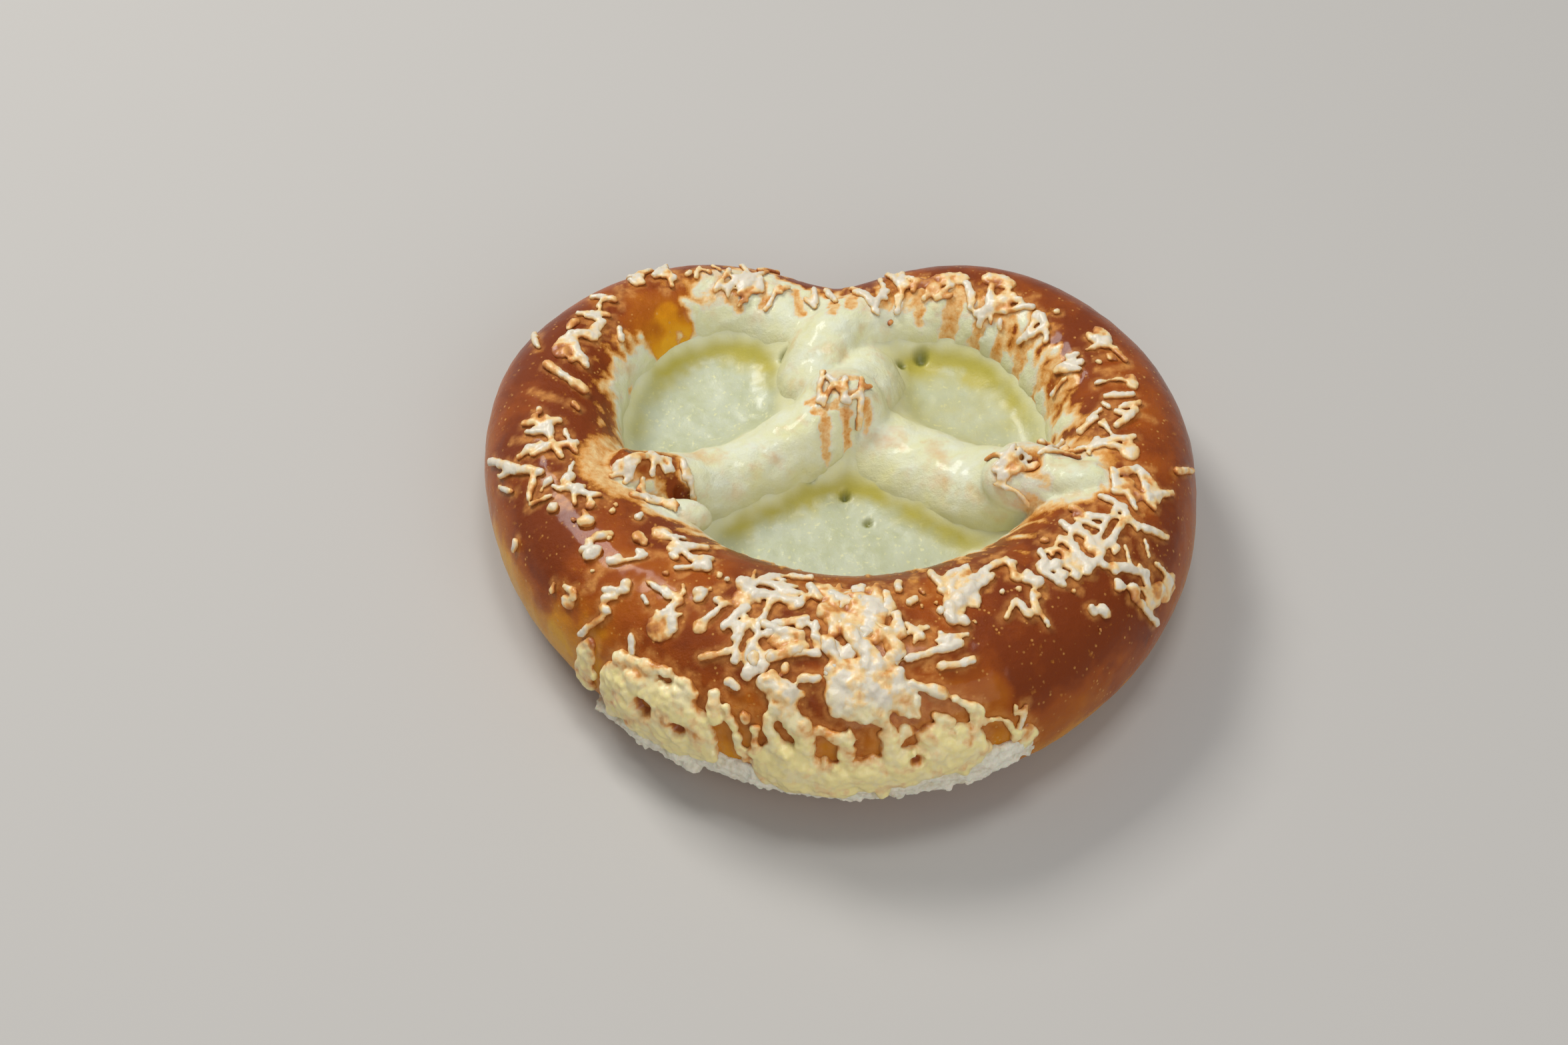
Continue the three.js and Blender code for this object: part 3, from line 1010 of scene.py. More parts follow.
def coat_mask(points):
    """How far each point of the dough is under melted cheese, from 0 to 1."""
    degrees, around = ring_place(points)
    edge = spline(np.array(COAT_EDGE)[:, None], degrees / COAT_STATION_DEG, True)[:, 0]
    turn = np.radians(degrees)
    across = FINGER_RADIUS * np.stack([np.cos(turn), np.sin(turn)])
    fingers = relief(np.stack([*across, around * FINGER_STRETCH], -1), COAT_FINGERS)
    ragged = waves(points, 6, 1, 3)
    wander = COAT_RAGGED * ragged + COAT_FINGERED * fingers
    on_ring = smooth_step(*COAT_SOFT, around - edge + wander)
    coat = np.maximum(on_ring, arms_coat(points, ragged, fingers))
    for x, y, radius, level in COAT_SPOTS:
        coat += spot_share(points, x, y, radius, ragged) * (level - coat)
    feathered = ragged + waves(points, 1.7, 30)
    for x, y, to_x, to_y, radius in COAT_STREAKS:
        for t in np.linspace(0, 1, STREAK_SPOTS):
            share = spot_share(points, x + t * (to_x - x), y + t * (to_y - y), radius, feathered)
            coat += share * (STREAK_LEVEL - coat)
    return coat


def coat_colour(tree, colours):
    """Colour of melted cheese on the dough: creamy, with yellow and white patches."""
    patches = mottle(tree, 7, 1.8, 2.4)
    return blend_colours(tree, patches, colours.coat_yellow, colours.coat_cream)


def crust_material(colours):
    """Lye crust, dark on top and pale at the tray, going over into its coat of melted cheese."""
    material, tree, shader = new_material("lye crust and cheese coat")
    blotches = mottle(tree, 13, 2.2, 1.8)
    uneven = maths(tree, "MULTIPLY_ADD", blotches, 0.26, -0.13)
    baked = maths(tree, "ADD", attribute(tree, "baked"), uneven)
    shades = [
        (0.0, colours.crust_base),
        (0.22, colours.crust_low),
        (0.5, colours.crust_mid),
        (0.8, colours.crust_deep),
        (1.0, colours.crust_dark),
    ]
    crust = ramp(tree, baked, shades)
    cells = {"Vector": object_place(tree), "Scale": 700.0}
    blister = node(tree, "ShaderNodeTexVoronoi", cells).outputs["Distance"]
    some = fade(tree, scattered_noise(tree, 3.5), (0.47, 0), (0.62, 0.8))
    specks = maths(tree, "MULTIPLY", fade(tree, blister, (0.15, 1), (0.24, 0)), some)
    crust = blend_colours(tree, specks, crust, colours.speck)
    streaks = fade(tree, scattered_noise(tree, 1.4, 3.0), (0.35, 0.35), (0.65, 1))
    film = maths(tree, "MULTIPLY", attribute(tree, "film"), streaks)
    crust = blend_colours(tree, film, crust, colours.film)
    ragged = maths(tree, "MULTIPLY_ADD", scattered_noise(tree, 2.0, 4.0, 0.6), 0.7, -0.35)
    coat = maths(tree, "ADD", attribute(tree, "coat"), ragged)
    shades = [
        (0.08, colours.crust_low),
        (0.3, colours.cheese_gold),
        (0.5, colours.cheese_cream),
        (0.68, colours.cheese_pale),
    ]
    rim = ramp(tree, coat, shades)
    high = attribute(tree, "high")
    # Painted shade: the coat turns green low down on the arms and inner walls.
    green_shade = fade(tree, high, (0.0, LOW_GREEN_SHADE), (0.9, 0))
    body = blend_colours(tree, green_shade, coat_colour(tree, colours), colours.green_cheese_shade)
    cheese = blend_colours(tree, fade(tree, coat, (0.55, 0), (0.85, 1)), rim, body)
    toasts = fade(tree, scattered_noise(tree, 6, 3.0, 0.6), (0.52, 0), (0.76, 0.5))
    toasts = maths(tree, "MULTIPLY", toasts, high)
    cheese = blend_colours(tree, toasts, cheese, colours.cheese_gold)
    covered = fade(tree, coat, (0.1, 0), (0.3, 1))
    set_inputs(shader, Base_Color=blend_colours(tree, covered, crust, cheese))
    set_inputs(shader, Roughness=fade(tree, coat, (0.15, 0.24), (0.5, 0.42)))
    bump(tree, shader, scattered_noise(tree, 1.8, 7.0, 0.7), 0.85, 0.5)
    set_inputs(shader, Coat_Weight=0.2, Coat_Roughness=0.1, Specular_IOR_Level=0.08)
    set_inputs(shader, Subsurface_Weight=0.02, Subsurface_Scale=0.0015)
    set_inputs(shader, Subsurface_Radius=(1.0, 0.6, 0.3))
    return material


class PRETZEL_OT_crust(bpy.types.Operator):
    """Bakes the ring and the two arms as one crust, with its coat of melted cheese"""

    bl_idname = "pretzel.crust"
    bl_label = "Crust"

    def execute(self, context):
        sizes = context.scene.pretzel_sizes
        bm = bmesh.new()
        add_ring(bm)
        for rows in (ARM_TO_RIGHT, ARM_TO_LEFT):
            add_strand(bm, arm_path(rows), *ARM_GRID)
        for row in LUMPS:
            add_lump(bm, row)
        crust = new_object("crust", bm)
        fuse(crust, sizes.crust_voxel, 8)
        points, normals = read_mesh(crust)
        coat = coat_mask(points)
        thick = coat * (COAT_THICKNESS * (0.5 + 0.8 * waves(points, 7, 4)))
        thick += coat * 0.3 * waves(points, 2.6, 5)
        points += normals * (relief(points, CRUST_RELIEF) + thick)[:, None]
        points[:, 2] = np.maximum(points[:, 2], 0)
        baked = self.baked(points, normals)
        for x, y, radius, depth in DENTS:
            share = spot_share(points, x, y, radius)
            points -= normals * (share * depth)[:, None]
            coat *= 1 - share
            baked += BURST_BAKED * share
        write_mesh(crust, points)
        paint(crust, "baked", baked)
        paint(crust, "coat", coat)
        paint(crust, "high", smooth_step(15, 21, points[:, 2]))
        crust.data.materials.append(crust_material(context.scene.pretzel_colours))
        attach(crust, "root")
        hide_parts("pretzel")
        return {"FINISHED"}

    @staticmethod
    def baked(points, normals):
        """How brown each point of the crust is: most on top, least on the left near the tray; the
        right side browns from lower down, in part painted shade for the side away from the light.
        """
        height = points[:, 2]
        sky = smooth_step(-0.35, 0.75, normals[:, 2])
        # Partly painted shade: the right side, away from the light, darkens from lower down.
        right_shade = smooth_step(-50, 35, points[:, 0])
        rising = np.clip((height - 4 + 4 * right_shade) / (20 - 7 * right_shade), 0, 1)
        lit = BAKED_SIDE_SHARE + (1 - BAKED_SIDE_SHARE) * sky
        baked = BAKED_LOW + BAKED_MORE * rising * lit
        baked += BAKED_UNEVEN * waves(points, 15, 18, 3)
        ragged = waves(points, 5, 19, 2)
        for x, y, radius, change in BAKED_SPOTS:
            baked += change * spot_share(points, x, y, radius, ragged)
        degrees, around = ring_place(points)
        for at, at_around, reach, reach_around, change in PALE_PATCHES:
            apart = np.hypot((degrees - at) / reach, (around - at_around) / reach_around)
            baked += change * smooth_step(1.3, 0.5, apart + 0.4 * ragged)
        return baked


# ------------------------------------------------------------------ the cheese in the loops


def blurred(heights, sigma):
    """A grid of heights made smooth, with sigma in grid steps."""
    reach = math.ceil(3 * sigma)
    weights = np.exp(-0.5 * (np.arange(-reach, reach + 1) / sigma) ** 2)
    weights /= weights.sum()
    for axis in (0, 1):
        padded = np.pad(heights, [(reach, reach) if axis == k else (0, 0) for k in (0, 1)], "edge")
        heights = np.apply_along_axis(np.convolve, axis, padded, weights, "valid")
    return heights


def pool_material(colours):
    """Melted cheese: grey-white in the middle of a loop, yellow-green at its edge, where painted
    shade falls by the dough.
    """
    material, tree, shader = new_material("melted cheese in the loops")
    blotches = mottle(tree, 8, 1.6, 2.6)
    middle = blend_colours(tree, blotches, colours.pool_white, colours.pool_pale)
    specks = fade(tree, scattered_noise(tree, 1.1, 2.0), (0.6, 0), (0.72, 0.6))
    middle = blend_colours(tree, specks, middle, colours.coat_yellow)
    uneven = maths(tree, "MULTIPLY_ADD", blotches, 0.3, -0.15)
    # Painted shade: the edge mark turns the cheese green where the dough stands over it.
    edge = maths(tree, "ADD", attribute(tree, "edge"), uneven)
    edge = fade(tree, edge, (0.1, 0), (0.9, 1))
    body = blend_colours(tree, edge, middle, colours.green_cheese_shade)
    # The cheese that climbs the dough takes the coat's colour with its painted shade.
    coat = blend_colours(tree, LOW_GREEN_SHADE, coat_colour(tree, colours), colours.green_cheese_shade)
    body = blend_colours(tree, attribute(tree, "climbed"), body, coat)
    # Painted shade: dark green inside the pits.
    body = blend_colours(tree, attribute(tree, "pit"), body, colours.pit_shade)
    set_inputs(shader, Base_Color=body, Roughness=fade(tree, blotches, (0.2, 0.34), (0.8, 0.5)))
    bump(tree, shader, scattered_noise(tree, 1.1, 4.0, 0.6), 0.35, 0.3)
    set_inputs(shader, Coat_Weight=0.1, Coat_Roughness=0.2)
    set_inputs(shader, Subsurface_Weight=0.3, Subsurface_Scale=0.003)
    set_inputs(shader, Subsurface_Radius=(1.0, 0.9, 0.4))
    return material


class PRETZEL_OT_pools(bpy.types.Operator):
    """Fills the three loops with melted cheese that climbs a little at the dough"""

    bl_idname = "pretzel.pools"
    bl_label = "Cheese in the loops"

    def execute(self, context):
        surface = surface_of(bpy.data.objects["crust"])
        level = context.scene.pretzel_sizes.pool_level / MM
        material = pool_material(context.scene.pretzel_colours)
        for name, (*middle, green_shade) in POOLS.items():
            pool = self.pool(name, middle, green_shade, level, surface)
            pool.data.materials.append(material)
            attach(pool, "root")
            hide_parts(name)
        return {"FINISHED"}

    def pool(self, name, middle, green_shade, level, surface):
        """One pool: a grid that climbs at the dough, cut back inside it and given depth."""
        bm = bmesh.new()
        layers = {key: bm.verts.layers.float.new(key) for key in ("edge", "climbed", "pit")}
        across, along = (round(span / POOL_STEP) for span in POOL_SPAN)
        bmesh.ops.create_grid(bm, x_segments=across, y_segments=along, size=0.5)
        stretch = Matrix.Diagonal((*POOL_SPAN, 1, 1))
        shift = Matrix.Translation((middle[0] + TO_MIDDLE[0], middle[1] + TO_MIDDLE[1], level))
        bmesh.ops.transform(bm, matrix=shift @ stretch, verts=bm.verts)
        grid = list(bm.verts)
        places = coords_of(grid)
        dough = np.array([self.dough_top(surface, place, level) for place in places])
        lift, marks = self.melt(places, dough, level, green_shade, (along + 1, across + 1))
        for i, vert in enumerate(grid):
            vert.co.z += lift[i]
            for key, values in marks.items():
                vert[layers[key]] = values[i]
        hidden = []
        for vert, top, rise in zip(grid, dough, lift):
            under = top > level + rise + POOL_TUCK and self.inside(surface, vert.co) > POOL_EDGE
            flat = Vector((vert.co.x, vert.co.y, level))
            if under or self.inside(surface, flat) > POOL_INSIDE:
                hidden.append(vert)
        start = min(grid, key=lambda v: (v.co.xy - shift.translation.xy).length)
        bmesh.ops.delete(bm, geom=hidden, context="VERTS")
        self.drop_loose(bm, start)
        self.deepen(bm)
        bmesh.ops.scale(bm, vec=(MM, MM, MM), verts=bm.verts)
        pool = new_object(name + "_melt", bm)
        pool.data.shade_smooth()
        return pool

    @staticmethod
    def melt(places, dough, level, green_shade, lines):
        """How far each vertex lifts off the level, and the marks that the material reads, painted
        shade at the edge among them.
        """
        rows = np.lexsort((places[:, 0].round(3), places[:, 1].round(3)))
        capped = np.clip(dough, level, level + POOL_CLIMB)[rows].reshape(lines)
        wide = blurred(capped, POOL_SHADE / POOL_STEP)

        def by_vertex(values):
            """Values on the grid's lines, in the order of its vertices."""
            listed = np.empty(len(places))
            listed[rows] = values.ravel()
            return listed

        climb = by_vertex(blurred(capped, POOL_BLUR / POOL_STEP) - level)
        shade = by_vertex(wide - level)
        at_back = by_vertex(np.gradient(wide, POOL_STEP, axis=0))
        lift = climb + relief(places, POOL_RELIEF)
        pit = np.zeros(len(places))
        for x, y, radius, depth in POOL_PITS:
            inside = smooth_step(radius, 0.2 * radius, plan_distance(places, x, y))
            lift -= depth * inside
            pit = np.maximum(pit, inside)
        # Painted shade: green where the blurred dough stands over the cheese, strongest by the
        # wall behind it, plus the loop's own share.
        edge = smooth_step(*POOL_GREEN_SHADE, shade + waves(places, 6, 20, 3))
        edge *= 0.2 + 0.8 * smooth_step(-0.1, 0.4, at_back + 0.3 * waves(places, 9, 25))
        edge = np.clip(edge + green_shade * (1 + 0.6 * waves(places, 5, 35, 2)), 0, 1)
        climbed = smooth_step(*POOL_COATED, climb + 0.9 * waves(places, 4, 24))
        return lift, {"edge": edge, "climbed": climbed, "pit": pit}

    def drop_loose(self, bm, start):
        """Deletes what edges don't join to the start, and lone vertices."""
        kept = self.joined_to(start)
        bmesh.ops.delete(bm, geom=[v for v in bm.verts if v not in kept], context="VERTS")
        ends = [v for v in bm.verts if not v.link_faces]
        bmesh.ops.delete(bm, geom=ends, context="VERTS")

    @staticmethod
    def deepen(bm):
        """Gives the sheet of cheese walls and an underside."""
        bmesh.ops.recalc_face_normals(bm, faces=bm.faces)
        if next(iter(bm.faces)).normal.z < 0:
            bmesh.ops.reverse_faces(bm, faces=bm.faces)
        walls = bmesh.ops.extrude_face_region(bm, geom=bm.faces[:])["geom"]
        for vert in walls:
            if isinstance(vert, bmesh.types.BMVert):
                vert.co.z = POOL_BASE

    @staticmethod
    def inside(surface, place):
        """How far the place lies within the dough."""
        spot, normal, _, distance = surface.find_nearest(place)
        return distance if (place - spot).dot(normal) < 0 else 0

    @staticmethod
    def dough_top(surface, place, level):
        """How high the dough stands over this place, or just under the level if there is none."""
        spot = surface.ray_cast((place[0], place[1], ABOVE), DOWN)[0]
        return spot.z if spot and spot.z > level else level - 1

    @staticmethod
    def joined_to(start):
        """Every vertex that edges join to this one."""
        found = {start}
        front = [start]
        while front:
            vert = front.pop()
            for edge in vert.link_edges:
                other = edge.other_vert(vert)
                if other not in found:
                    found.add(other)
                    front.append(other)
        return found


# ------------------------------------------------------------------ cheese on the crust


def cheese_material(name, colours, body, toast_gain):
    """Baked cheese: its body colour where thick, golden and brown where thin or toasted."""
    material, tree, shader = new_material(name)
    uneven = maths(tree, "MULTIPLY_ADD", mottle(tree, 5, 1.1, 2.2), 0.6, -0.3)
    toasted = maths(tree, "MULTIPLY_ADD", attribute(tree, "thin"), toast_gain, uneven)
    toasted = maths(tree, "ADD", toasted, attribute(tree, "toast"))
    patches = fade(tree, mottle(tree, 4, 1.2, 2.6), (0.45, 1), (0.75, 0.7))
    yellow = maths(tree, "MULTIPLY", patches, attribute(tree, "thick"))
    body = blend_colours(tree, yellow, colours.cheese_pale, body)
    stops = [
        (0.38, colours.cheese_cream),
        (0.62, colours.cheese_gold),
        (1.0, colours.cheese_toast),
    ]
    browned = ramp(tree, toasted, stops)
    baked = fade(tree, toasted, (0.08, 0), (0.34, 1))
    set_inputs(shader, Base_Color=blend_colours(tree, baked, body, browned))
    bump(tree, shader, scattered_noise(tree, 0.8, 4.0, 0.6), 0.45, 0.25)
    set_inputs(shader, Roughness=0.38, Subsurface_Weight=0.3, Subsurface_Scale=0.0015)
    set_inputs(shader, Coat_Weight=0.12, Coat_Roughness=0.2, Specular_IOR_Level=0.45)
    set_inputs(shader, Subsurface_Radius=(1.0, 0.7, 0.35))
    return material


def finish_cheese(obj, surface, full, material):
    """Marks where the cheese is thin or ends, and gives it its material and body."""
    points, normals = read_mesh(obj)
    nearest = [surface.find_nearest(p) for p in points.tolist()]
    apart = np.array([hit[3] for hit in nearest])
    facing = np.sum(normals * np.array([hit[1] for hit in nearest]), axis=1)
    rim = smooth_step(*RIM_FACING, facing) * smooth_step(*RIM_REACH, apart)
    paint(obj, "thin", np.maximum(smooth_step(full, 0.1, apart), RIM_GILT * rim))
    obj.data.materials.append(material)
    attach(obj, "root")
    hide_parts("pretzel")


def row_places(row, count=14):
    """Places along a straight row on the ring, short of its ends by half the width."""
    degrees, around, to_degrees, to_around, width = row
    ends = ring_surface([degrees, to_degrees], [around, to_around])
    inset = min(0.45, width / 2 / max(np.linalg.norm(ends[1] - ends[0]), width))
    t = np.linspace(inset, 1 - inset, count)
    return ring_surface(degrees + t * (to_degrees - degrees), around + t * (to_around - around))


def laid_on(surface, places, width, wobble=0.5, lift=SHRED_LIFT):
    """A strand's path over the surface near the places, a little wavy and uneven."""
    places = np.array(places)
    places[:, 0] += wobble * waves(places, 4, 21)
    places[:, 1] += wobble * waves(places, 4, 22)
    spots = []
    ups = []
    for place in places:
        spot, normal, _, _ = surface.find_nearest(Vector(place))
        spots.append(spot)
        ups.append(normal)
    up = np.array(ups)
    centre = np.array(spots) + up * lift
    along = np.gradient(centre, axis=0)
    side = np.cross(along, up)
    side /= np.linalg.norm(side, axis=1)[:, None]
    half = width / 2 * (1 + 0.35 * waves(centre, 2.6, 12))
    return centre, side, up, half, half * 0.85, half


def add_crumb(bm, surface, place, radius, stretch):
    """A small lump of cheese that sits on the surface near the place."""
    spot, normal, _, _ = surface.find_nearest(Vector(place))
    turn = np.array(normal.to_track_quat("Z", "X").to_matrix())
    mesh, ball = unit_sphere(10, 6)
    lump = ball * (radius * stretch, radius, radius * 0.8)
    join_moved(bm, mesh, lump @ turn.T + spot + normal * radius * 0.35)


class PRETZEL_OT_skirt(bpy.types.Operator):
    """Hangs the puffed skirt of melted cheese over the front of the belly"""

    bl_idname = "pretzel.skirt"
    bl_label = "Cheese skirt"

    def execute(self, context):
        colours = context.scene.pretzel_colours
        surface = surface_of(bpy.data.objects["crust"])
        draw = Draw(SKIRT_SEED)
        bm = bmesh.new()
        for row in PUFFS:
            add_puff(bm, row)
            self.edge_puffs(bm, row, draw)
        for row in DRIPS + RIVULETS:
            add_strand(bm, laid_on(surface, row_places(row), row[4], 0.9, 0.7), 10, 20)
        for degrees, around, reach, reach_around, radius, thickness, count in HEAPS:
            for _ in range(count):
                small = (
                    draw.near(degrees, reach),
                    draw.near(around, reach_around),
                    radius * draw(0.35, 1) * 1.3,
                    radius * draw(0.35, 1) * 3,
                    thickness * draw(0.5, 1.1),
                )
                add_puff(bm, small, 12)
        skirt = new_object("cheese_skirt", bm)
        fuse(skirt, context.scene.pretzel_sizes.cheese_voxel, 3)
        points, normals = read_mesh(skirt)
        points += normals * relief(points, SKIRT_RELIEF)[:, None]
        hollow = np.zeros(len(points))
        for degrees, around, radius, depth in PITS:
            spot = ring_surface([degrees], [around], 2.5)[0]
            apart = np.linalg.norm(points - spot, axis=1)
            inside = smooth_step(radius * 1.25, radius * 0.35, apart)
            points -= normals * (inside * depth)[:, None]
            hollow = np.maximum(hollow, inside)
        points[:, 2] = np.maximum(points[:, 2], 0.3)
        write_mesh(skirt, points)
        _, around = ring_place(points)
        on_top = smooth_step(14, 34, around)
        toast = 0.7 * hollow + 0.14 * on_top + 0.55 * waves(points, 3.4, 23, 3)
        paint(skirt, "thick", smooth_step(62, 24, around + 14 * waves(points, 5, 27)))
        paint(skirt, "toast", toast)
        material = cheese_material("melted cheese skirt", colours, colours.skirt, 0.55)
        finish_cheese(skirt, surface, SKIRT_FULL, material)
        return {"FINISHED"}

    @staticmethod
    def edge_puffs(bm, row, draw):
        """Small puffs along the edge of a large one."""
        degrees, around, half_degrees, half_around, thickness = row
        for _ in range(round(2 + half_degrees / 2)):
            turn = draw(0, 2 * math.pi)
            out = draw(0.5, 1.02)
            small = (
                degrees + out * half_degrees * math.cos(turn),
                around + out * half_around * math.sin(turn),
                draw(0.6, 1.6),
                draw(2.5, 6),
                thickness * draw(0.6, 1.15),
            )
            add_puff(bm, small, 16)


def crumb_material(colours):
    """Torn white crumb, with a sole of crust at the tray."""
    material, tree, shader = new_material("torn crumb")
    blotches = mottle(tree, 4, 1, 2.2)
    body = ramp(tree, blotches, [(0.1, colours.crumb_shade), (0.5, colours.crumb)])
    body = blend_colours(tree, attribute(tree, "sole"), body, colours.crust_low)
    set_inputs(shader, Base_Color=body)
    bump(tree, shader, scattered_noise(tree, 0.6, 5.0, 0.7), 0.7, 0.4)
    set_inputs(shader, Roughness=0.8, Subsurface_Weight=0.2, Subsurface_Scale=0.001)
    return material


class PRETZEL_OT_torn_edge(bpy.types.Operator):
    """Shows the torn crumb under the skirt"""

    bl_idname = "pretzel.torn_edge"
    bl_label = "Torn crumb"

    def execute(self, context):
        draw = Draw(CRUMB_SEED)
        bm = bmesh.new()
        for row in TORN_EDGE:
            add_puff(bm, row, 48)
            degrees, around, half_degrees, half_around, thickness = row
            for _ in range(CRAGS):
                way = draw(-0.95, 0.95)
                small = (
                    degrees + half_degrees * way,
                    around + half_around * math.sqrt(1 - way * way) * draw(-1.1, 1.0),
                    draw(0.8, 2.6),
                    draw(1.5, 4.5),
                    thickness * draw(0.7, 1.4),
                )
                add_puff(bm, small, 12)
        crumb = new_object("torn_crumb", bm)
        fuse(crumb, context.scene.pretzel_sizes.cheese_voxel, 2)
        points, normals = read_mesh(crumb)
        points += normals * relief(points, CRUMB_RELIEF)[:, None]
        points[:, 2] = np.maximum(points[:, 2], 0.2)
        write_mesh(crumb, points)
        paint(crumb, "sole", smooth_step(4.5, 2.6, points[:, 2] + waves(points, 6, 26)))
        crumb.data.materials.append(crumb_material(context.scene.pretzel_colours))
        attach(crumb, "root")
        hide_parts("pretzel")
        return {"FINISHED"}


def region_of(degrees):
    """The name of the group that a shred at this angle belongs to."""
    degrees %= 360
    return next((name for name, start in REGIONS.items() if degrees >= start), "shreds_right")


class PRETZEL_OT_shreds(bpy.types.Operator):
    """Lays the grated shreds on the crust and stains the crust round them"""

    bl_idname = "pretzel.shreds"
    bl_label = "Grated shreds"

    def execute(self, context):
        colours = context.scene.pretzel_colours
        crust = bpy.data.objects["crust"]
        self.surface = surface_of(crust)
        self.meshes = {name: bmesh.new() for name in REGIONS}
        self.spots = []
        self.sunken = []
        draw = Draw(SHRED_SEED)
        for row in SHREDS:
            self.lay((row[0] + row[2]) / 2, row_places(row), SHRED_SLIMMER * row[4])
        for *cluster, count in FINE_CLUSTERS:
            for _ in range(count):
                row = self.fine_row(*cluster, draw)
                self.lay(row[0], row_places(row), row[4])
                if draw() < WEB_CHANCE:
                    self.web(row, draw)
                row = self.fine_row(*cluster, draw)
                self.sunken.append(laid_on(self.surface, row_places(row), row[4])[0])
        for x, y, reach, way, count in PLAN_CLUSTERS:
            for _ in range(count):
                self.lay_on_plan(draw.near(x, reach), draw.near(y, reach), way, draw)
        for *cluster, count in CRUMB_CLUSTERS:
            for _ in range(count):
                self.crumb(*cluster, draw)
        material = cheese_material("grated cheese", colours, colours.cheese_pale, 0.62)
        for name, bm in self.meshes.items():
            shreds = new_object(name, bm)
            fuse(shreds, context.scene.pretzel_sizes.cheese_voxel, 2)
            points, normals = read_mesh(shreds)
            write_mesh(shreds, points + normals * relief(points, SHRED_RELIEF)[:, None])
            paint(shreds, "toast", 0.5 * smooth_step(-0.1, 0.6, waves(points, 6, 15, 3)))
            finish_cheese(shreds, self.surface, SHRED_FULL, material)
        self.stain(crust)
        return {"FINISHED"}

    def lay(self, degrees, places, width):
        """One shred, in the group of its angle."""
        path = laid_on(self.surface, places, width)
        add_strand(self.meshes[region_of(degrees)], path, 8, 18)
        self.spots.append(path[0])

    def crumb(self, degrees, around, reach, reach_around, draw):
        """One crumb of a cluster."""
        here = draw.near(degrees, reach)
        place = ring_surface([here], [draw.near(around, reach_around)])[0]
        smallest, largest = CRUMB_SIZE
        radius = smallest + (largest - smallest) * draw() ** 1.6
        add_crumb(self.meshes[region_of(here)], self.surface, place, radius, draw(1, 1.6))
        if radius > 1:
            self.spots.append(place[None, :])

    def lay_on_plan(self, x, y, way, draw):
        """A fine shred dropped from above."""
        length = draw(*FINE_LENGTH)
        heading = math.radians(way + draw(-50, 50))
        width = FINE_WIDTH * draw(0.75, 1.2)
        places = []
        for s in np.linspace(-0.5, 0.5, 8) * length:
            over_x = x + TO_MIDDLE[0] + s * math.cos(heading)
            over_y = y + TO_MIDDLE[1] + s * math.sin(heading)
            spot = self.surface.ray_cast(Vector((over_x, over_y, ABOVE)), DOWN)[0]
            if spot is None:
                return
            places.append(spot)
        self.lay(math.degrees(math.atan2(y, x)), places, width)

    @staticmethod
    def fine_row(degrees, around, reach, reach_around, way, draw):
        """A short row of a cluster, with a drawn place, length, width and heading."""
        degrees = draw.near(degrees, reach)
        around = draw.near(around, reach_around)
        length = draw(*FINE_LENGTH)
        heading = math.radians(way + draw(-55, 55))
        width = FINE_WIDTH * draw(0.7, 1.2)
        centre, half, rise, _ = ring_at(np.array([degrees]))
        level = np.linalg.norm(centre[0, :2] - TO_MIDDLE)
        radius = level + half[0] * math.cos(math.radians(around))
        ahead = length * math.cos(heading) / math.radians(radius) / 2
        aside = length * math.sin(heading) / math.radians((half[0] + rise[0]) / 2) / 2
        return (degrees - ahead, around - aside, degrees + ahead, around + aside, width)

    def web(self, row, draw):
        """A thin melted sheet that joins shreds."""
        size = draw(1.6, 3.6)
        degrees = draw.near(row[0], 3)
        around = draw.near(row[1], 8)
        flat = (degrees, around, size * 1.1, size * 2.8, draw(0.5, 0.9))
        add_puff(self.meshes[region_of(row[0])], flat, 12)

    def stain(self, crust):
        """Paints the thin film of fat and cheese round the shreds."""
        skirt, _ = read_mesh(bpy.data.objects["cheese_skirt"])
        spots = np.concatenate([*self.spots, skirt[::9]])
        points, _ = read_mesh(crust)
        apart = distance(points, spots)
        film = FILM * smooth_step(*FILM_REACH, apart + waves(points, 2.2, 16))
        apart = distance(points, np.concatenate(self.sunken))
        sunken = SUNKEN * smooth_step(*SUNKEN_REACH, apart + 0.4 * waves(points, 1.5, 28))
        paint(crust, "film", np.maximum(film, sunken))


# ------------------------------------------------------------------ the stage


def aim(obj, target):
    """Turns an object's -Z at the target."""
    way = Vector(target) - obj.location
    obj.rotation_euler = way.to_track_quat("-Z", "Y").to_euler()


def add_light(name, place, size, watts, tint):
    """A soft box that looks at the pretzel."""
    lamp = bpy.data.lights.new(name, "AREA")
    lamp.shape = "RECTANGLE"
    lamp.size, lamp.size_y = size
    lamp.energy = watts
    lamp.color = tint
    obj = bpy.data.objects.new(name, lamp)
    obj.location = place
    aim(obj, (0, 0, 0))
    bpy.context.collection.objects.link(obj)


def add_camera():
    """The camera, at the photograph's angle."""
    camera = bpy.data.cameras.new("camera")
    camera.sensor_width = SENSOR_WIDTH
    camera.lens = SENSOR_WIDTH * CAMERA_FOCUS_SHARE
    tilt = math.radians(CAMERA_ELEVATION)
    back = Vector((0, -math.cos(tilt), math.sin(tilt))) * CAMERA_DISTANCE
    obj = bpy.data.objects.new("camera", camera)
    obj.location = (Vector(CAMERA_AIM) + back) * MM
    obj.rotation_euler = (math.pi / 2 - tilt, 0, 0)
    bpy.context.collection.objects.link(obj)
    return obj


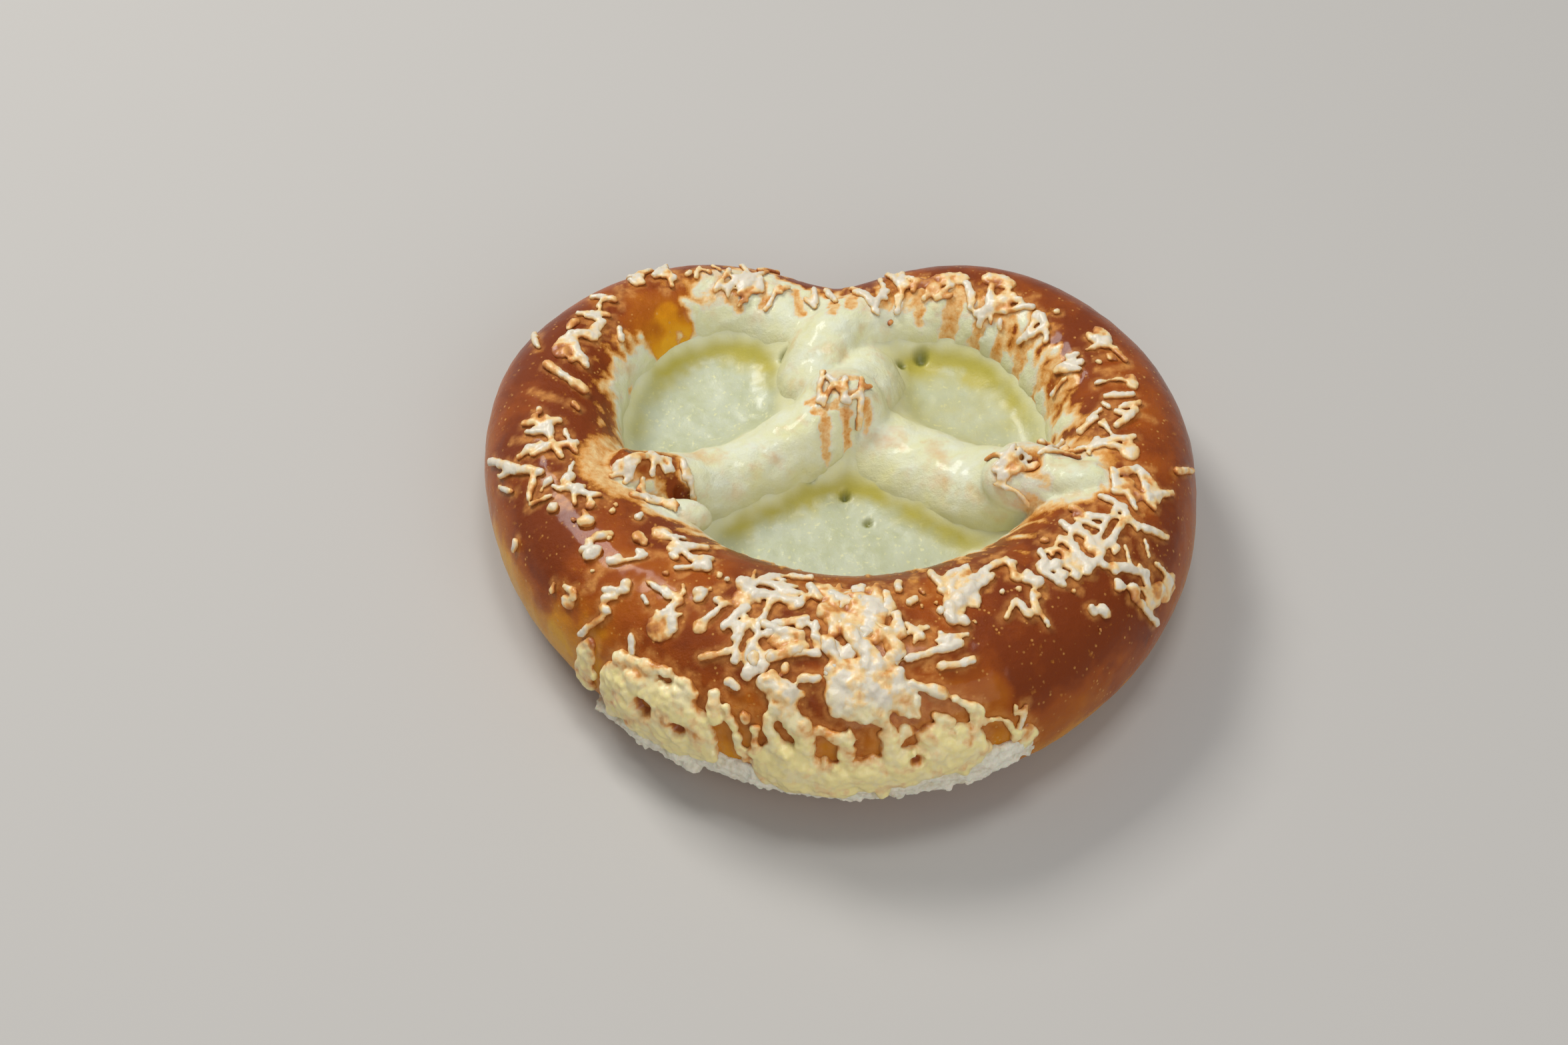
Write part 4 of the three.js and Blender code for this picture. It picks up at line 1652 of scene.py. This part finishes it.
class PRETZEL_OT_stage(bpy.types.Operator):
    """Sets the floor, the lights and the camera"""

    bl_idname = "pretzel.stage"
    bl_label = "Floor, light and camera"

    def execute(self, context):
        scene = context.scene
        bm = bmesh.new()
        half = scene.pretzel_sizes.floor_size / 2
        bmesh.ops.create_grid(bm, x_segments=1, y_segments=1, size=half)
        floor = new_object("floor", bm)
        material, _, shader = new_material("floor")
        set_inputs(shader, Roughness=0.7, Base_Color=(*scene.pretzel_colours.floor, 1))
        floor.data.materials.append(material)
        for row in LIGHTS:
            add_light(*row)
        world = bpy.data.worlds.new("soft room")
        world.use_nodes = True
        set_inputs(world.node_tree.nodes["Background"], Color=ROOM_TINT, Strength=ROOM_STRENGTH)
        scene.world = world
        scene.view_settings.view_transform = "Standard"
        scene.camera = add_camera()
        return {"FINISHED"}


class PRETZEL_PT_panel(bpy.types.Panel):
    """Lists the pretzel's sizes, colours and pieces"""

    bl_idname = "PRETZEL_PT_panel"
    bl_label = "Cheese pretzel"
    bl_space_type = "VIEW_3D"
    bl_region_type = "UI"
    bl_category = "Pretzel"

    def draw(self, context):
        for group in (context.scene.pretzel_sizes, context.scene.pretzel_colours):
            box = self.layout.box()
            for name in group.__annotations__:
                box.prop(group, name)
        for operator in OPERATORS:
            self.layout.operator(operator.bl_idname)


OPERATORS = (
    PRETZEL_OT_crust,
    PRETZEL_OT_pools,
    PRETZEL_OT_skirt,
    PRETZEL_OT_torn_edge,
    PRETZEL_OT_shreds,
    PRETZEL_OT_stage,
)
CLASSES = (PretzelSizes, PretzelColours, *OPERATORS, PRETZEL_PT_panel)


def register():
    for cls in CLASSES:
        bpy.utils.register_class(cls)
    bpy.types.Scene.pretzel_sizes = bpy.props.PointerProperty(type=PretzelSizes)
    bpy.types.Scene.pretzel_colours = bpy.props.PointerProperty(type=PretzelColours)


def unregister():
    del bpy.types.Scene.pretzel_colours
    del bpy.types.Scene.pretzel_sizes
    for cls in reversed(CLASSES):
        bpy.utils.unregister_class(cls)


def main():
    register()
    bpy.ops.pretzel.crust()
    bpy.ops.pretzel.pools()
    bpy.ops.pretzel.skirt()
    bpy.ops.pretzel.torn_edge()
    bpy.ops.pretzel.shreds()
    bpy.ops.pretzel.stage()
    drop_spheres()


if __name__ == "__main__":
    main()
